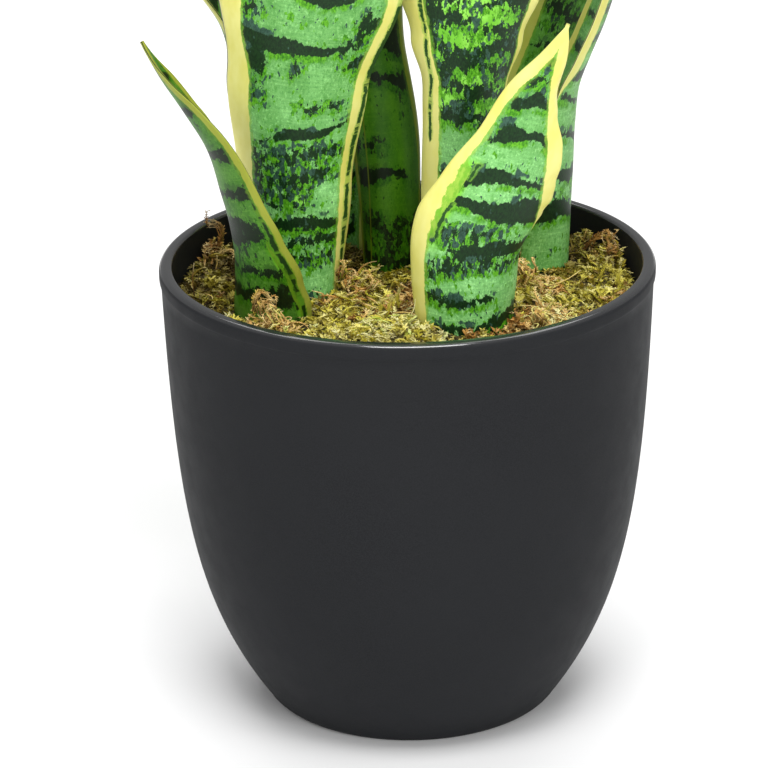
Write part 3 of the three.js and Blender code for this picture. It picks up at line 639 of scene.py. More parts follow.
def leaf_values(g):
    """What each leaf stores at its points, and the noises that roughen its print."""
    v = SimpleNamespace()
    v.at = g.stored_vector("leaf_at")
    v.across, v.along = g.split(v.at)[:2]
    v.from_left, v.from_right, v.face = g.stored("leaf_edge")
    v.wide_left, v.wide_right, v.dash_left = g.stored("leaf_margin")
    v.dash_right, v.dash_half, v.seam = g.stored("leaf_more")
    v.here, v.below, v.above = g.stored("leaf_field")
    v.torn, v.lime, v.olive_shade = g.stored("leaf_extra")
    stretched = g.vector("MULTIPLY", v.at, (1.0, 0.52, 9.7))
    v.moved = g.vector("ADD", stretched, (71.3, 18.9, 5.1))
    v.again = g.vector("ADD", stretched, (-33.3, 47.7, 31.7))
    v.rag = g.noise(stretched, 0.52, 4, 0.68)
    v.rag_two = g.noise(v.moved, 0.55, 4, 0.68)
    v.rag_three = g.noise(v.again, 0.58, 4, 0.68)
    v.fine = g.noise(v.moved, 1.7, 2, 0.6)
    v.gate = g.noise(v.again, 0.15, 2, 0.5)
    v.soft = g.noise(stretched, 0.12, 3, 0.6)
    v.mottle = g.noise(v.moved, 0.34, 4, 0.7)
    v.speckle = g.noise(v.at, 2.3, 1, 0.5)
    v.swing = g.step(v.torn, 0.0, 1.0, 3.5, 17.0)
    return v


def ragged(g, v, depth, noise):
    """The depth inside a band with its edge made ragged, the more so where the print is torn."""
    return g.add(depth, g.mul(g.sub(noise, 0.5), v.swing))


def leaf_ground(g, v):
    """The light ground, with the weave as a fine speckle, and painted light near the foot: the
    ground is painted paler there to make up for the light that the moss and the rim take away."""
    near = g.step(ragged(g, v, g.most(v.below, v.above), v.rag_two), -3.2, 0.6)
    smear = g.mul(near, g.step(v.gate, 0.4, 0.6, 0.35, 0.9))
    weak = g.mul(g.most(smear, g.mul(v.torn, 0.7)), 0.58)
    brushed = g.noise(g.vector("MULTIPLY", v.at, (0.16, 1.5, 3.3)), 1.0, 3, 0.6)
    grit = g.noise(v.again, 1.5, 2, 0.6)
    colour = g.between(v.soft, 0.3, 0.7, (111, 178, 90), (137, 206, 118))
    colour = g.paint(colour, g.step(v.mottle, 0.52, 0.66, 0.0, 0.7), 88, 158, 66)
    colour = g.paint(colour, weak, 76, 142, 54)
    colour = g.paint(colour, g.step(v.speckle, 0.35, 0.65, 0.0, 0.3), 72, 136, 66)
    colour = g.paint(colour, g.step(brushed, 0.45, 0.7, 0.0, 0.4), 84, 152, 72)
    colour = g.paint(colour, g.step(grit, 0.32, 0.44, 0.5, 0.0), 64, 134, 52)
    colour = g.paint(colour, g.step(grit, 0.56, 0.68, 0.0, 0.5), 162, 228, 138)
    colour = g.paint(colour, g.step(brushed, 0.3, 0.45, 0.35, 0.0), 160, 222, 132)
    # Painted light: the ground is multiplied paler low on the leaf, less so where the leaf has
    # painted shade.
    foot = g.mul(g.step(v.along, 50, 88, 1.0, 0.0), g.sub(1.0, v.olive_shade))
    colour = g.mix(foot, colour, (1.5, 1.36, 1.65, 1.0), "MULTIPLY")
    lime_ground = g.between(v.soft, 0.35, 0.65, (118, 204, 40), (160, 238, 88))
    return g.mix(g.mul(v.lime, 0.85), colour, lime_ground)


def leaf_bands(g, v, colour):
    """Grass-green flecks, the dark bands over them, and slate along the bands' upper edges."""
    dark = g.step(ragged(g, v, v.here, v.rag), -0.2, 0.2)
    above = g.step(ragged(g, v, v.above, v.rag_two), -0.15, 0.3)
    below = g.step(ragged(g, v, v.below, v.rag_three), -0.9, 0.5)
    shallow = g.step(ragged(g, v, v.here, v.rag_three), 0.5, 1.0, 1.0, 0.0)
    some = g.step(g.sub(v.gate, g.mul(v.torn, 0.05)), 0.52, 0.56)
    slate = g.mul(g.mul(g.mul(above, shallow), some), g.sub(1.0, g.mul(v.olive_shade, 0.7)))
    dots = g.step(g.add(g.noise(v.moved, 0.62, 2, 0.55), g.mul(v.torn, 0.17)), 0.715, 0.74)
    flecks = g.step(g.add(g.noise(v.again, 0.55, 2, 0.55), g.mul(v.torn, 0.2)), 0.68, 0.7)
    patchy = g.step(g.add(g.noise(v.moved, 0.2, 2, 0.5), g.mul(v.torn, 0.1)), 0.44, 0.54)
    grass = g.between(v.fine, 0.3, 0.7, (50, 124, 14), (106, 186, 36))
    deep = g.between(v.fine, 0.3, 0.7, (8, 36, 12), (22, 58, 20))
    bluish = g.between(v.fine, 0.3, 0.7, (34, 66, 52), (62, 98, 80))
    colour = g.mix(g.most(g.mul(below, patchy), flecks), colour, grass)
    colour = g.mix(dark, colour, deep)
    return g.mix(g.most(slate, dots), colour, bluish)


def leaf_margins(g, v, colour):
    """A yellow-green fringe just inside each margin, the margin, its dashed line and seam."""
    over = g.step(v.lime, 1.0, 2.0)
    wobble = g.mul(g.sub(v.rag_two, 0.5), g.add(1.6, g.mul(over, 3.4)))
    left = g.add(g.sub(v.wide_left, v.from_left), wobble)
    right = g.add(g.sub(v.wide_right, v.from_right), wobble)
    inner = g.most(left, right)
    reach = g.add(g.mul(g.sub(v.rag, 0.5), 4.0), g.mul(over, 4.4))
    fringe = g.mul(g.step(g.add(inner, reach), -1.3, -0.3), g.add(0.6, g.mul(over, 0.32)))
    lime_edge = g.between(v.mottle, 0.4, 0.6, (120, 184, 44), (166, 206, 74))
    lemon = g.between(v.soft, 0.3, 0.7, (234, 228, 116), (242, 238, 144))
    colour = g.mix(fringe, colour, lime_edge)
    colour = g.mix(g.step(inner, -0.12, 0.2), colour, lemon)
    breaks = g.noise(g.vector("MULTIPLY", v.at, (0.0, 1.0, 3.1)), 0.17, 3, 0.7)
    unbroken = g.most(over, g.step(v.dash_half, 1.05, 1.15))
    shown = g.most(g.step(breaks, 0.38, 0.47), unbroken)
    off_left = g.math("ABSOLUTE", g.sub(v.from_left, v.dash_left))
    off_right = g.math("ABSOLUTE", g.sub(v.from_right, v.dash_right))
    nearer = g.math("MINIMUM", off_left, off_right)
    off = g.sub(g.add(nearer, g.mul(g.sub(v.rag_three, 0.5), 2.8)), v.dash_half)
    haze = g.mul(g.step(off, 0.1, 1.0, 0.55, 0.0), g.step(v.dash_half, 0.0, 0.4))
    colour = g.paint(colour, haze, 132, 192, 52)
    colour = g.paint(colour, g.mul(g.step(off, -0.15, 0.15, 1.0, 0.0), shown), 34, 78, 26)
    seam_off = g.math("ABSOLUTE", g.sub(v.from_left, v.seam))
    return g.paint(colour, g.step(seam_off, 0.15, 0.35, 0.8, 0.0), 190, 200, 70)


def leaf_material():
    g = Graph("leaf_cloth")
    v = leaf_values(g)
    colour = leaf_margins(g, v, leaf_bands(g, v, leaf_ground(g, v)))
    # The cut edge of the sheet is pale, and painted dark where the back cloth shows: that dark is
    # painted shade on the back layer's edge.
    pale = g.mul(g.step(v.face, 0.1, 0.3), g.step(v.face, 0.42, 0.5, 1.0, 0.0))
    under = g.mul(g.step(v.face, 0.42, 0.5), g.step(v.face, 0.75, 0.95, 1.0, 0.0))
    colour = g.paint(colour, pale, 236, 234, 176)
    colour = g.paint(colour, under, 58, 78, 40)
    # Painted shade: the whole colour multiplied darker and yellower, mixed in by the leaf's stored
    # shade share.
    shaded = g.mix(1.0, colour, rgb(140, 156, 56), "MULTIPLY")
    weave = g.mul(g.math("SINE", g.mul(v.across, 11.0)), g.math("SINE", g.mul(v.along, 11.0)))
    height = g.add(g.mul(weave, 0.12), g.add(g.mul(v.speckle, 0.5), g.mul(v.soft, 1.5)))
    return g.set(Base_Color=g.mix(v.olive_shade, colour, shaded), IOR=1.47, Specular_IOR_Level=0.28,
                 Roughness=g.step(v.fine, 0.2, 0.8, 0.38, 0.5),
                 Normal=g.bump(height, 0.00012, 0.5))


LEAF_MATERIAL = leaf_material()
KEELS = {name: Keel(leaf) for name, leaf in LEAVES.items()}


def ripple(leaf, d, s, rng):
    """How far the edges wave out of the leaf's own curve, in mm."""
    phase = rng.uniform(0, 6.3, 4)
    d = d[:, None]
    left = np.sin(d / 17 + phase[0]) * 0.5 + np.sin(d / 31 + phase[1]) * 0.8
    right = np.sin(d / 15 + phase[2]) * 0.5 + np.sin(d / 27 + phase[3]) * 0.8
    grow = smooth(d, 60, 200)
    if "wave" in leaf:
        right = ramp(leaf["wave"], d)
        left = left * 0.5 * smooth(d, 45, 70)
        grow = 1.0
    return grow * np.where(s < 0, left, right) * np.abs(s) ** 3


def rounded_edge(outer, inner, column, beside, width, lip=0.0):
    """Two columns of points that round an edge off, the outer face's side first."""
    o, i = outer[:, column], inner[:, column]
    away = unit((o + i) / 2 - (outer[:, beside] + inner[:, beside]) / 2)
    fade = np.minimum(1, width / 4)
    return np.stack([o * 0.7 + i * 0.3 + away * EDGE_BULGE * fade,
                     o * 0.3 + i * 0.7 + away * (EDGE_BULGE + lip) * fade], 1)


def lime_share(name, along, across, from_right, past_left):
    """How lime the ground is. From 1 to 2, the fringe inside the margin widens as well."""
    lime = LEAVES[name].get("lime", 0.0)
    if name == "leaf_tall_front_right":
        return lime * smooth(along, 66, 74)
    if name == "leaf_tall_front_left":
        return lime + smooth(np.hypot((along - 45) / 3, (across - 2) / 4), 1.2, 0.6)
    if name == "leaf_short_front_right":
        return lime + 2 * smooth(past_left, 5.8, 2.4) * smooth(np.abs(along - 50), 17, 9)
    if name == "leaf_short_left":
        return lime + 1.7 * smooth(np.abs(from_right - 5.3), 1.5, 0.5) * smooth(along, 50, 30)
    return lime


def store_print(obj, index, name, d, s, width):
    """Stores each point's place on the leaf and the print there, for the leaf material."""
    leaf, n = LEAVES[name], len(s)
    # The section runs along the outer face, the right edge, the inner face and the left edge.
    s_ring = np.concatenate([s, [1, 1], s[::-1], [-1, -1]])
    face = np.concatenate([np.zeros(n), [0.3, 0.7], np.ones(n), [0.7, 0.3]])
    half = width / 2
    across = s_ring * half
    along = np.broadcast_to(d[:, None], across.shape)
    store(obj, "leaf_at", across + (face > 0.7) * BACK_PRINT_SHIFT, along, index * 7.0)
    store(obj, "leaf_edge", half + across, half - across, face)
    taper = np.clip(width / 15, 0.45, 1)
    left, right = (ramp(leaf.get(side, PLAIN_MARGIN), along) * taper for side in ("left", "right"))
    dash_left, dash_right, dash_half, seam = (
        ramp(leaf.get(line, NO_LINE), along)
        for line in ("dash_left", "dash_right", "dash_half", "seam"))
    store(obj, "leaf_margin", left, right, dash_left)
    store(obj, "leaf_more", dash_right, dash_half - 3 * smooth(width, 22, 14), seam)
    (here, torn), (below, _), (above, _) = (
        print_field(leaf, along - shift, s_ring, half, np.random.default_rng(PRINT_SEED + index))
        for shift in (0, BELOW_SHIFT, ABOVE_SHIFT))
    store(obj, "leaf_field", here, below, above)
    lime = lime_share(name, along, across, half - across, half + across - left)
    store(obj, "leaf_extra", torn, lime, leaf.get("olive_shade", 0.0))


def leaf_map(obj, rows, count, along):
    """Three strips of each leaf's length side by side, so that the map is close to square."""
    verts = loop_vertices(obj)
    row, column = verts // count, verts % count
    sides = (rows - 1) * count * 4
    strip = np.zeros(len(verts), int)
    strip[:sides] = np.minimum(np.repeat(along[:-1], count * 4) * 3, 2).astype(int)
    seam = np.zeros(len(verts), bool)
    last_quad = np.tile(np.repeat(np.arange(count) == count - 1, 4), rows - 1)
    seam[:sides] = last_quad & (column[:sides] == 0)
    u = (strip + 0.02 + 0.96 * np.where(seam, count, column) / count) / 3
    set_uv(obj, u, np.clip(along[row] * 3 - strip, 0, 1) * 0.98 + 0.01)


def build_leaf(index, name):
    leaf, keel = LEAVES[name], KEELS[name]
    step, columns = (1.2, 44) if "bands" in leaf else (2.4, 29)  # finer where the photo shows it
    d = np.concatenate([
        np.arange(-ROOT_DEPTH, 0, 3.0), np.arange(0, FINE_LENGTH, step),
        np.arange(FINE_LENGTH, keel.rise - 0.6, step * 2), [keel.rise - 0.4, keel.rise],
    ])
    s = np.linspace(-1, 1, columns + 1)
    width = leaf_width(leaf, keel, d)[:, None]
    rng = np.random.default_rng(RIPPLE_SEED + index)
    push = ripple(leaf, d, s, rng) * np.minimum(1, width / 22)
    outer = leaf_surface(leaf, keel, d, s, 0.0, push)
    inner = leaf_surface(leaf, keel, d, s, sheet_thickness(keel, d, s), push)
    lip = ramp(leaf.get("lip", NO_LIP), d)[:, None]
    right = rounded_edge(outer, inner, -1, -2, width)
    left = rounded_edge(outer, inner, 0, 1, width, lip)
    rings = np.concatenate([outer, right, inner[:, ::-1], left[:, ::-1]], 1)
    obj = tube_solid(name + "_cloth", rings)
    store_print(obj, index, name, d, s, width)
    leaf_map(obj, *rings.shape[:2], (d + ROOT_DEPTH) / keel.length)
    as_piece(obj, LEAF_MATERIAL, "leaf_cloth", name)


for index, name in enumerate(LEAVES):
    build_leaf(index, name)


# ---------------------------------------------------------------- moss
# Strand colours by tint, from 0 to 1 in tenths.
MOSS_COLOURS = [
    (108, 76, 28), (162, 116, 46), (226, 170, 84), (252, 214, 136), (196, 170, 54),
    (184, 174, 40), (222, 210, 66), (242, 228, 98), (252, 242, 140), (255, 250, 194),
    (212, 230, 84),
]


def value_noise(x, y, cell, seed):
    """Smooth random heights from -1 to 1 over a grid of cells that many mm wide."""
    size = int(200 / cell) + 4
    grid = np.random.default_rng(seed).uniform(-1, 1, (size, size))
    u, v = (np.asarray(x) + 100) / cell + 1, (np.asarray(y) + 100) / cell + 1
    i, j = np.floor(u).astype(int), np.floor(v).astype(int)
    a, b = u - i, v - j
    a, b = a * a * (3 - 2 * a), b * b * (3 - 2 * b)
    return ((grid[i, j] * (1 - a) + grid[i + 1, j] * a) * (1 - b)
            + (grid[i, j + 1] * (1 - a) + grid[i + 1, j + 1] * a) * b)


def bed_top(x, y):
    """Height of the moss mat: lumpy, raised along the front, and sunk before the front leaf."""
    r = np.hypot(x, y)
    crown = MOSS_EDGE + (MOSS_MIDDLE - MOSS_EDGE) * (1 - (x ** 2 + y ** 2) / 77.0 ** 2)
    sunk = smooth(-y, 50, 60) * smooth(np.abs(x - SUNK_X), 19, 14)
    front = FRONT_RISE * smooth(-y, 30, 62) * (1 - sunk) - SUNK_DEPTH * sunk
    lumps = sum(size * value_noise(x, y, cell, LUMP_SEED + k)
                for k, (cell, size) in enumerate([(22, 1.7), (11, 1.3), (5, 1.0), (2.4, 0.5)]))
    return crown - MAT_DROP + front + lumps * smooth(r, 80, 72) - smooth(r, 70, 77)


def slot_solid(name):
    """The closed space a leaf's root stands in, a little larger than the leaf."""
    leaf, keel = LEAVES[name], KEELS[name]
    d = np.concatenate([[-ROOT_DEPTH - 0.4], np.arange(-24, 40, 3.0)])
    s = np.linspace(-1.012, 1.012, 25)
    outer = leaf_surface(leaf, keel, d, s, -0.3)
    inner = leaf_surface(leaf, keel, d, s, sheet_thickness(keel, d, np.clip(s, -1, 1)) + 0.3)
    return tube_solid("slot_" + name, np.concatenate([outer, inner[:, ::-1]], 1))


def bed_object():
    """A lumpy disc of matted moss on the filler, with a slot for each leaf."""
    angle = np.linspace(0, 2 * math.pi, 260, endpoint=False)
    r = np.linspace(0, 1, 85)[1:, None] * MOSS_RADIUS
    x, y = r * np.cos(angle), r * np.sin(angle)
    top = np.stack([x, y, bed_top(x, y)], -1)
    r, z = np.array([(76.9, 140.0), (76.3, MOSS_BOTTOM), (40.0, MOSS_BOTTOM)]).T[..., None]
    low = np.stack(np.broadcast_arrays(r * np.cos(angle), r * np.sin(angle), z), -1)
    obj = ring_solid("moss_mat", np.concatenate([top, low]), float(bed_top(0, 0)), MOSS_BOTTOM,
                     downward=True)
    slots = [slot_solid(name) for name in LEAVES]
    for slot in slots:
        cut = obj.modifiers.new("cut", "BOOLEAN")
        cut.operation = "DIFFERENCE"
        cut.solver = "MANIFOLD"
        cut.object = slot
    depsgraph = bpy.context.evaluated_depsgraph_get()
    mesh = bpy.data.meshes.new_from_object(obj.evaluated_get(depsgraph))
    obj.modifiers.clear()
    obj.data = mesh
    for slot in slots:
        bpy.data.objects.remove(slot)
    return obj


def moss_ground_material():
    """Dark matted moss, seen only between the strands."""
    g = Graph("moss_ground")
    where = g.position()
    fine = g.noise(where, 900, 4, 0.7)
    tone = g.between(g.noise(where, 60, 4, 0.6), 0.35, 0.65, (40, 32, 8), (70, 62, 14))
    tone = g.paint(tone, g.step(fine, 0.45, 0.75), 124, 106, 44)
    tone = g.paint(tone, g.step(fine, 0.35, 0.5, 1.0, 0.0), 26, 20, 8)
    return g.set(Base_Color=tone, Roughness=g.step(fine, 0.2, 0.8, 0.78, 0.95),
                 Normal=g.bump(fine, 0.0008, 0.9))


def strand_material():
    """Colour differs by each strand's own tint, with painted shade at the root, a painted
    highlight at the tip, and painted shade over whole strands by their stored shade.
    """
    g = Graph("moss_strand")
    tint, run, shade = g.stored("strand")
    scale = g.node("ShaderNodeValToRGB", tint)
    stops = scale.color_ramp.elements
    while len(stops) < len(MOSS_COLOURS):
        stops.new(0.5)
    for i, (stop, colour) in enumerate(zip(stops, MOSS_COLOURS)):
        stop.position = i / 10
        stop.color = rgb(*colour)
    base = scale.outputs[0]
    # Painted shade: the root end is multiplied darker.
    root = g.mix(1.0, base, rgb(120, 106, 70), "MULTIPLY")
    tone = g.mix(g.step(run, 0.0, 0.45), root, base)
    # Painted highlight: a pale cream towards the tip.
    tone = g.paint(tone, g.step(run, 0.6, 1.0, 0.0, 0.5), 255, 244, 190)
    # Painted shade: strands are multiplied darker and browner by their stored shade.
    tone = g.mix(shade, tone, g.mix(1.0, tone, rgb(110, 96, 56), "MULTIPLY"))
    grain = g.noise(g.position(), 1500, 2, 0.6)
    tone = g.paint(tone, g.step(grain, 0.3, 0.7, 0.0, 0.14), 90, 74, 30)
    return g.set(Base_Color=tone, Roughness=g.step(grain, 0.2, 0.8, 0.55, 0.8),
                 Normal=g.bump(grain, 0.0001, 0.5))


def leaf_feet():
    """The leaves' feet as one search tree, which keeps the moss off them."""
    verts, faces = [], []
    d = np.arange(-8.0, 46, 3.0)
    s = np.linspace(-1, 1, 25)
    for name, leaf in LEAVES.items():
        start = len(verts)
        verts += [Vector(p) for p in leaf_surface(leaf, KEELS[name], d, s, 0.8).reshape(-1, 3)]
        for i in range(len(d) - 1):
            for j in range(len(s) - 1):
                k = start + i * len(s) + j
                faces.append((k, k + 1, k + len(s) + 1, k + len(s)))
    return BVHTree.FromPolygons(verts, faces)


as_piece(bed_object(), moss_ground_material(), "moss", "moss_bed")
STRAND_MATERIAL = strand_material()
LEAF_FEET = leaf_feet()


def clear_of_leaves(paths, gap=1.3):
    """True for strands that keep that gap to every leaf."""
    free = [LEAF_FEET.find_nearest(Vector(p), gap)[0] is None for p in paths.reshape(-1, 3)]
    return np.reshape(free, paths.shape[:2]).all(1)


def inside_pot(paths, rim=154.0):
    """True for strands that stay clear of the pot's wall and do not reach past the rim."""
    r = np.hypot(paths[..., 0], paths[..., 1])
    return ((r < MOSS_RADIUS) | (paths[..., 2] > rim)).all(1) & (r < STRAND_REACH).all(1)


def strand_paths(rng, roots, length, lift, curl, steps):
    """Curling paths from each root: (count, steps, 3). They rise, then droop and curl."""
    n = len(roots)
    heading = rng.uniform(0, 2 * math.pi, n)
    rise = rng.uniform(*lift, n)
    turn = rng.normal(0, curl, n)
    droop = rng.uniform(0.4, 1.5, n) * curl * 0.6
    rows = [roots]
    for i in range(steps - 1):
        go = np.stack([np.cos(rise) * np.cos(heading), np.cos(rise) * np.sin(heading),
                       np.sin(rise)], -1)
        rows.append(rows[-1] + go * (length / (steps - 1))[:, None])
        heading = heading + turn / steps * 3
        rise = rise - droop / steps * 1.6
    return np.stack(rows, 1)


def strand_frame(paths):
    """The direction along each path, and two square to it."""
    along = unit(np.gradient(paths, axis=1))
    side = unit(np.cross(along, np.broadcast_to([0.13, 0.21, 1.0], along.shape)))
    return along, side, np.cross(side, along)


def tubes(paths, radius):
    """Thin three-sided strands along the paths: points, sides and end faces."""
    n, m = paths.shape[:2]
    along, side, over = strand_frame(paths)
    angle = np.arange(3) / 3 * 2 * math.pi
    size = radius[:, None] * np.linspace(1, 0.35, m)[None, :]
    ring = (side[:, :, None] * np.cos(angle)[:, None] + over[:, :, None] * np.sin(angle)[:, None])
    points = paths[:, :, None] + ring * size[:, :, None, None]
    base = (np.arange(n)[:, None, None] * m + np.arange(m - 1)[None, :, None]) * 3
    j = np.arange(3)
    k = (j + 1) % 3
    quads = np.stack([base + j, base + k, base + 3 + k, base + 3 + j], -1)
    ends = (np.arange(n)[:, None] * m + m - 1) * 3 + j
    return points.reshape(-1, 3), quads.reshape(-1, 4), ends


def leaflets(paths, rng, size):
    """Small pointed blades on both sides of each strand, as a feather moss has them."""
    n, m = paths.shape[:2]
    along, side, over = (part[:, 1:] for part in strand_frame(paths))
    at = paths[:, 1:]
    fade = np.linspace(1.0, 0.55, m - 1)[None, :, None]
    parts = []
    for hand in (-1, 1):
        long = size[:, None, None] * fade * rng.uniform(0.7, 1.3, (n, m - 1, 1))
        lifted = rng.uniform(-0.1, 0.7, (n, m - 1, 1))
        go = unit(along * 0.75 + side * hand * 0.85 + over * lifted)
        wide = unit(np.cross(go, over)) * long * 0.2
        middle = at + go * long * 0.42
        fold = over * long * 0.10
        parts.append(np.stack([at, middle + wide + fold, at + go * long, middle - wide + fold], 2))
    quads = np.concatenate(parts, 1).reshape(-1, 4, 3)
    return quads, np.tile(np.arange(1, m) / (m - 1), 2 * n), np.repeat(np.arange(n), 2 * (m - 1))


class Moss:
    """Collects strands and their leaflets, then makes one mesh of them."""

    def __init__(self, name):
        self.name = name
        self.points, self.quads, self.ends, self.strand, self.count = [], [], [], [], 0

    def add(self, points, quads, *strand):
        self.quads.append(quads + self.count)
        self.points.append(points)
        self.strand.append(np.stack(strand, -1))
        self.count += len(points)

    def fronds(self, rng, paths, radius, blade, tint, shade):
        n, m = paths.shape[:2]
        if not n:
            return
        points, quads, ends = tubes(paths, radius)
        self.ends.append(ends + self.count)
        # run goes from 0 at the root to 1 at the tip; the material paints shade at the root and a
        # highlight at the tip from it.
        run = np.tile(np.repeat(np.linspace(0, 1, m), 3), n)
        self.add(points, quads, np.repeat(tint, 3 * m), run, np.repeat(shade, 3 * m))
        if blade is None:
            return
        quads, at, owner = leaflets(paths, rng, blade)
        lighter = np.clip(tint[owner] + rng.normal(0, 0.015, len(owner)), 0, 1)
        numbers = np.arange(len(owner) * 4).reshape(-1, 4)
        self.add(quads.reshape(-1, 3), numbers, np.repeat(lighter, 4),
                 np.repeat(0.25 + 0.75 * at, 4), np.repeat(shade[owner], 4))

    def single(self, rng, path, thick, blade, tint, shade):
        blade = None if blade is None else np.array([blade])
        self.fronds(rng, path[None], np.array([thick]), blade, np.array([tint]), np.array([shade]))

    def clump(self, rng, paths, tints, shade, vary, radius, blade):
        """Strands of mixed tints, each as thick and as long in the blade as the two ranges say."""
        n = len(paths)
        tint = np.clip(rng.choice(tints, n) + rng.normal(0, 0.02, n), 0, 1)
        dim = np.clip(shade + vary * rng.uniform(-1, 1, n), 0, 0.9)
        self.fronds(rng, paths, rng.uniform(*radius, n), rng.uniform(*blade, n), tint, dim)

    def build(self, slot, *nodes):
        faces = [np.concatenate(self.quads), np.concatenate(self.ends)]
        obj = make_object(self.name, np.concatenate(self.points), faces)
        strand = np.concatenate(self.strand)
        store(obj, "strand", *strand.T)
        # Colour depends on tint, run and shade alone, so the map lays those three out.
        tint, run, shade = strand[loop_vertices(obj)].T
        level = np.round(np.clip(shade, 0, 1) * 7)
        set_uv(obj, 0.002 + 0.996 * tint, (level + 0.06 + 0.88 * np.clip(run, 0, 1)) / 8)
        as_piece(obj, STRAND_MATERIAL, slot, *nodes)


def region_tint(rng, x, y):
    """Tint and painted shade of moss by place: paler and yellower tints in front, and more painted
    shade behind and in hollows, which darkens and browns the strands.
    """
    n = len(x)
    front = smooth(-y + 0.15 * x, 0, 60)
    tint = rng.choice([0.4, 0.5, 0.6, 0.68, 0.76], n, p=[0.16, 0.26, 0.28, 0.2, 0.1])
    pale = rng.choice([0.6, 0.7, 0.78, 0.86, 0.96], n, p=[0.2, 0.28, 0.26, 0.16, 0.1])
    tint = np.where(rng.uniform(size=n) < front, pale, tint)
    patch = value_noise(x, y, 17, PATCH_SEED) + 0.2 * rng.normal(size=n)
    brown = rng.choice([0.12, 0.2, 0.3], n, p=[0.3, 0.4, 0.3])
    tint = np.where(patch > 0.42, brown, tint)
    hollow_shade = value_noise(x, y, 4.5, HOLLOW_SEED)
    # Painted shade: more towards the back, where the leaves and the pot wall shade the moss, and
    # in hollows.
    behind = smooth(y - np.where(x > 0, 0.12, 0.35) * x, -14, 30)
    shade = 0.75 * behind + 0.25 * rng.uniform(-1, 1, n) + 0.35 * hollow_shade - 0.08
    return np.clip(tint + rng.normal(0, 0.02, n), 0, 1), np.clip(shade, 0, 0.95)


def quarter_fronds(name, seed, right, back):
    """The fronds of one quarter of the bed, low where the bed is sunk."""
    rng = np.random.default_rng(seed)
    r = FROND_RADIUS * np.sqrt(rng.uniform(0, 1, FRONDS_TRIED))
    a = rng.uniform(0, 2 * math.pi, FRONDS_TRIED)
    x, y = r * np.cos(a), r * np.sin(a)
    here = ((x >= 0) == right) & ((y >= 0) == back)
    x, y = x[here], y[here]
    roots = np.stack([x, y, bed_top(x, y) - 0.4], -1)
    paths = strand_paths(rng, roots, rng.uniform(3.6, 8.5, len(x)), (0.2, 1.4), 3.0, 9)
    px, py, pz = np.moveaxis(paths, -1, 0)
    low = bed_top(px, py) - 0.2
    high = low + 3.8 + 2.6 * rng.uniform(size=(len(x), 1))
    sunk = (np.abs(px - SUNK_X) < 17) & (py < -52)
    tallest = np.where(sunk, SUNK_FROND_HEIGHT, FROND_HEIGHT)
    pz[:] = np.minimum(np.clip(pz, low, high), low + tallest)
    paths = paths[inside_pot(paths) & clear_of_leaves(paths)]
    px, py, pz = np.moveaxis(paths, -1, 0)
    tint, shade = region_tint(rng, px[:, 0], py[:, 0])
    # Painted shade: strands that lie low on the bed get more of it.
    lying_shade = smooth((pz - bed_top(px, py)).max(1), 3.2, 0.8)
    n = len(paths)
    moss = Moss(name)
    moss.fronds(rng, paths, rng.uniform(0.36, 0.72, n), rng.uniform(1.2, 2.5, n), tint,
                np.clip(shade + 0.3 * lying_shade, 0, 1))
    moss.build("moss")


for q, name in enumerate(["front_left", "front_right", "back_left", "back_right"]):
    quarter_fronds("moss_fronds_" + name, FROND_SEED + q, q % 2 == 1, q >= 2)

# Loose tufts: middle x and y, half sizes along x, y and z, a turn, a count, tints and painted
# shade.
TUFTS = {
    "moss_tuft_back_left": ((-65.5, 29), (5, 6, 13), 20, 60, (0.2, 0.3, 0.4), 0.35),
    "moss_tuft_left_curl": ((-43, -45.5), (7, 4.5, 8), 35, 70, (0.28, 0.32, 0.78), 0.0),
    "moss_tuft_middle": ((-17.5, -12), (5, 8, 9), -15, 120, (0.2, 0.3, 0.5, 0.8), 0.1),
    "moss_tuft_front": ((-6, -46), (10, 8, 5), 0, 110, (0.7, 0.8, 0.86, 0.97), 0.0),
    "moss_tuft_right": ((44, -6), (6, 8, 7), 10, 90, (0.2, 0.28, 0.32, 0.78), 0.1),
    "moss_tuft_front_right": ((47, -36), (8, 7, 6), 40, 90, (0.28, 0.32, 0.8, 0.86), 0.0),
    "moss_tuft_back_right": ((67, 26), (6, 9, 7), -20, 90, (0.4, 0.5, 0.3, 0.7), 0.2),
    "moss_tuft_far_left": ((-42, 54), (9, 7, 6), 45, 90, (0.4, 0.5, 0.2), 0.4),
}
# Curling clumps in a tuft: middle x and y, bottom, top, reach, count, tints and painted shade.
COILS = {
    "moss_tuft_back_left": [(-66, 28, 147, 152.5, 3.4, 14, (0.1, 0.2, 0.25, 0.4), 0.3)],
    "moss_tuft_left_curl": [
        (-44, -47.5, 148, 158, 3.6, 22, (0.28, 0.32, 0.8), 0.0),
        (-50, -44, 148, 153, 3.4, 16, (0.28, 0.32, 0.7), 0.0)],
    "moss_tuft_middle": [
        (-21, -13, 149, 158.5, 4.2, 22, (0.2, 0.28, 0.32, 0.5), 0.05),
        (-14, -15, 149, 156.5, 4.6, 26, (0.28, 0.8, 0.5, 0.7), 0.05),
        (-6, -33, 149, 154.5, 3.4, 12, (0.2, 0.28, 0.8), 0.0)],
    "moss_tuft_right": [(39, -6, 148, 156, 3.8, 22, (0.2, 0.28, 0.32, 0.7), 0.0)],
    "moss_tuft_front_right": [(41.8, -49.5, 148, 155.5, 3.6, 26, (0.28, 0.33, 0.8), 0.0)],
    "moss_tuft_back_right": [
        (69, 21, 148, 156, 3.4, 20, (0.12, 0.22, 0.4), 0.3),
        (60, 28, 148, 154.5, 3.6, 16, (0.4, 0.5), 0.4)],
}
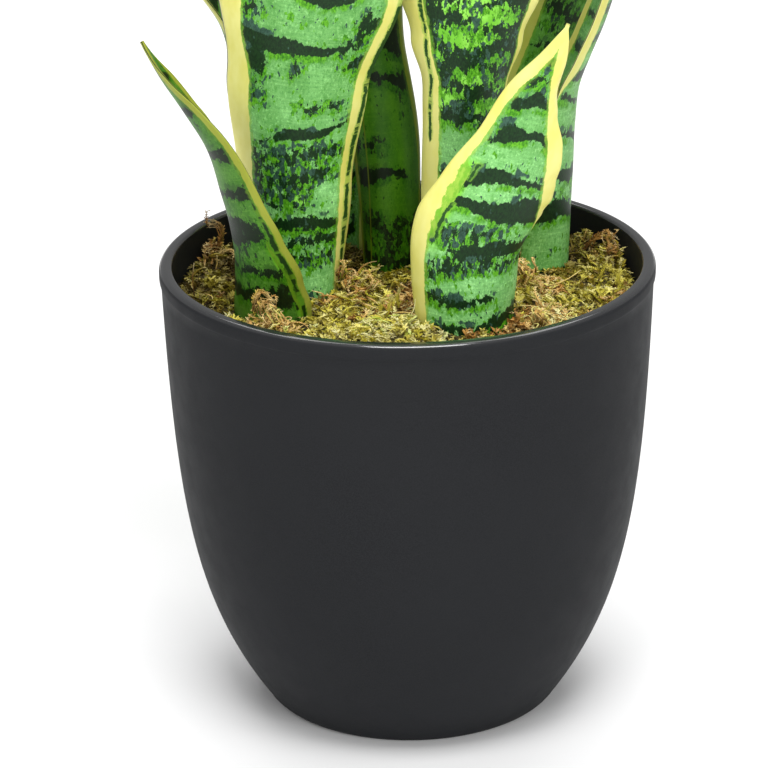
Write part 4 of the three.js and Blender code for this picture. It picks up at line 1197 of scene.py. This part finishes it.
# Bare twigs and straws in a tuft: the two ends, thickness, tint and how far it bows.
TWIGS = {
    "moss_tuft_left_curl": [
        ((-70.5, -12.3, 147), (-70.0, -12.6, 158.5), 0.34, 0.03, 0.6),
        ((-66.4, -19, 150), (-64.0, -27, 151.5), 0.3, 0.33, 0.5),
        ((-64.2, 9.5, 148), (-63.6, 9.0, 154), 0.3, 0.34, 0.4)],
    "moss_tuft_front": [
        ((-13.3, -33, 153.4), (-9.3, -40, 153.0), 0.42, 0.25, 0.2),
        ((-14.9, -36.5, 152.6), (-9.8, -40.5, 152.2), 0.36, 0.30, 0.2),
        ((-5.2, -46.6, 152.8), (1.8, -47.6, 152.6), 0.3, 0.33, 0.4),
        ((0.2, -45.8, 150), (2.2, -45.2, 157.2), 0.3, 0.88, 0.5)],
    "moss_tuft_right": [((45, -22, 152), (57, -12, 154.5), 0.3, 0.34, 0.9)],
}
# Bundles of strands that bend over: four control points, how many, spread, thickness, tint.
HOOKS = {
    "moss_tuft_back_left": [
        (((-66, 28, 148), (-61.8, 27, 152), (-61.6, 27, 159.5), (-66.8, 28, 158)),
         8, 0.75, 0.3, 0.14),
        (((-66.6, 28, 157), (-68.6, 28, 158), (-69.2, 28, 163.4), (-67.0, 28, 163.0)),
         1, 0.1, 0.26, 0.1)],
    "moss_tuft_left_curl": [
        (((-48.6, -46, 154), (-49.2, -46, 161.6), (-46, -46.5, 162), (-43.2, -46, 156.6)),
         7, 0.7, 0.32, 0.3),
        (((-46.8, -47, 153), (-48, -47, 158.4), (-44.8, -47, 159), (-43.6, -46.6, 154)),
         6, 0.8, 0.3, 0.33)],
    "moss_tuft_back_right": [
        (((60, 27, 149), (64, 26, 154), (68, 24, 155.6), (71, 21, 152)), 7, 1.1, 0.32, 0.18)],
}
# Upright feathery sprigs in a tuft: foot and top.
SPRIGS = {
    "moss_tuft_front": [
        ((-3.4, -32.8, 149), (-2.6, -32.8, 156)), ((-7.0, -42.3, 149), (-6.0, -42.5, 157)),
        ((-5.0, -37.6, 149), (-4.6, -38.0, 155.5)), ((-9.2, -39.5, 149), (-9.0, -40, 155))],
    "moss_tuft_right": [((63, -8, 149), (66, -8, 157)), ((69, -14, 149), (70, -14, 156))],
}


def coil_paths(rng, place, low, high, reach, count):
    """Strands that curl round and round inside a narrow upright clump."""
    t = np.linspace(0, 1, 15)[None, :]
    phase, swirl = rng.uniform(0, 2 * math.pi, (2, count, 1))
    turn = rng.uniform(1.2, 2.6, (count, 1)) * math.pi * rng.choice([-1, 1], (count, 1))
    wide = reach * rng.uniform(0.15, 0.5, (count, 1)) * (0.75 + 0.4 * np.sin(3 * t + swirl))
    middle = rng.normal(0, 0.42 * reach, (2, count, 1))
    off = np.hypot(*middle) / reach
    start = rng.uniform(-0.1, 0.75, (count, 1)) - 0.45 * off
    climb = rng.uniform(0.25, 0.7, (count, 1))
    height = start + climb * np.sin(t * rng.uniform(1.4, 3.0, (count, 1)))
    x = place[0] + middle[0] + wide * np.cos(phase + turn * t)
    y = place[1] + middle[1] + wide * np.sin(phase + turn * t)
    return np.stack([x, y, low + (high - low) * np.minimum(height, 1.05)], -1)


def bowed_path(rng, ends, bow, steps=9):
    """One strand from end to end, with a slight bow and a kink or two."""
    a, b = np.array(ends, float)
    t = np.linspace(0, 1, steps)[:, None]
    sideways = unit(np.cross(b - a, rng.normal(size=3)))
    kinks = np.cumsum(rng.normal(0, 0.09, (steps, 3)), 0)
    return a + (b - a) * t + sideways * bow * np.sin(math.pi * t) + kinks * t


def hook_path(rng, control, spread):
    """One strand of a bundle that bends over, off the bundle's curve by about the spread."""
    path = bezier(np.array(control) + rng.normal(0, spread, (4, 3)), np.linspace(0, 1, 16))
    return path + np.cumsum(rng.normal(0, 0.16, path.shape), 0)


def tuft_roots(rng, middle, size, turn, count):
    """Roots over a turned ellipse, raised towards its middle."""
    a = rng.uniform(0, 2 * math.pi, count)
    r = np.sqrt(rng.uniform(0, 1, count))
    u, v = r * np.cos(a) * size[0], r * np.sin(a) * size[1]
    c, s = math.cos(math.radians(turn)), math.sin(math.radians(turn))
    x, y = middle[0] + c * u - s * v, middle[1] + s * u + c * v
    return np.stack([x, y, bed_top(x, y) + (1 - r) * size[2] * rng.uniform(0, 0.7, count)], -1)


def build_tuft(seed, name, middle, size, turn, count, tints, shade):
    rng = np.random.default_rng(seed)
    roots = tuft_roots(rng, middle, size, turn, count * 3)
    paths = strand_paths(rng, roots, rng.uniform(6, 13, len(roots)), (0.2, 1.35), 2.6, 12)
    low = bed_top(paths[..., 0], paths[..., 1])
    paths[..., 2] = np.clip(paths[..., 2], low, low + size[2] * 1.4)
    keep = inside_pot(paths, 156.0) & clear_of_leaves(paths)
    moss = Moss(name + "_strands")
    moss.clump(rng, paths[keep][:count], tints, shade, 0.2, (0.3, 0.6), (0.9, 1.7))
    for *place, low, high, reach, count, tints, shade in COILS.get(name, []):
        paths = coil_paths(rng, place, low, high, reach, count)
        paths = paths[inside_pot(paths) & clear_of_leaves(paths, 0.9)]
        moss.clump(rng, paths, tints, shade, 0.15, (0.28, 0.5), (0.7, 1.3))
    for foot, top, thick, tint, bow in TWIGS.get(name, []):
        moss.single(rng, bowed_path(rng, (foot, top), bow), thick, None, tint, 0.0)
    for control, many, spread, thick, tint in HOOKS.get(name, []):
        for _ in range(many):
            path = hook_path(rng, control, spread)
            own_tint = tint + 0.04 * rng.normal()
            moss.single(rng, path, thick, 1.2, own_tint, rng.uniform(0, 0.4))
    for ends in SPRIGS.get(name, []):
        moss.single(rng, bowed_path(rng, ends, 0.4, 16), 0.4, 1.3, 0.6, 0.35)
    moss.build("moss_tuft", name)


for seed, (name, tuft) in enumerate(TUFTS.items(), TUFT_SEED):
    build_tuft(seed, name, *tuft)


# ---------------------------------------------------------------- floor, light and camera
def area_light(name, place, target, size, power):
    data = bpy.data.lights.new(name, "AREA")
    data.shape = "RECTANGLE"
    data.size, data.size_y = size
    data.energy = power
    lamp = into_scene(name, data)
    lamp.location = place
    lamp.rotation_euler = (Vector(target) - Vector(place)).to_track_quat("-Z", "Y").to_euler()


def camera_pose():
    """Where the camera stands, and its three axes, from its distance and angles to the rim."""
    look = Vector((-math.sin(YAW) * math.cos(PITCH), math.cos(YAW) * math.cos(PITCH),
                   -math.sin(PITCH)))
    level = look.cross(Vector((0, 0, 1))).normalized()
    above = level.cross(look)
    right = level * math.cos(ROLL) + above * math.sin(ROLL)
    up = above * math.cos(ROLL) - level * math.sin(ROLL)
    pose = Matrix((right, up, -look)).transposed().to_4x4()
    pose.translation = (0, -REACH * math.cos(RISE), POT_HEIGHT * MM + REACH * math.sin(RISE))
    return pose


floor_mesh = bpy.data.meshes.new("floor")
floor_mesh.from_pydata([(-6, -6, 0), (6, -6, 0), (6, 6, 0), (-6, 6, 0)], [], [(0, 1, 2, 3)])
floor = into_scene("floor", floor_mesh)
set_material(floor, Graph("floor").set(
    Base_Color=(0.93, 0.93, 0.93, 1), Roughness=0.9, Specular_IOR_Level=0.0))

world = bpy.data.worlds.new("studio")
bpy.context.scene.world = world
world.use_nodes = True
world.node_tree.nodes["Background"].inputs["Color"].default_value = (1, 1, 1, 1)
world.node_tree.nodes["Background"].inputs["Strength"].default_value = 0.35

area_light("overhead", (0.1, -0.8, 2.3), (0, 0, 0.15), (1.2, 0.7), 30)
area_light("key", (1.2, -2.2, 1.3), (0, 0, 0.2), (1.5, 0.32), 26)
area_light("fill", (-1.3, -2.3, 1.0), (0, 0, 0.2), (0.8, 0.8), 14)
area_light("floor_wash", (0, 1.1, 2.4), (0, 0.9, 0), (2.6, 1.8), 46)

PITCH, YAW, ROLL = math.radians(21.455), math.radians(0.388), math.radians(-0.81)
REACH, RISE = 1.300, math.radians(19.61)
camera_data = bpy.data.cameras.new("camera")
camera_data.lens = 183.328125
camera_data.sensor_width = 36
camera_data.clip_end = 50
camera = into_scene("camera", camera_data)
camera.matrix_world = camera_pose()
bpy.context.scene.camera = camera
bpy.context.scene.view_settings.view_transform = "Standard"
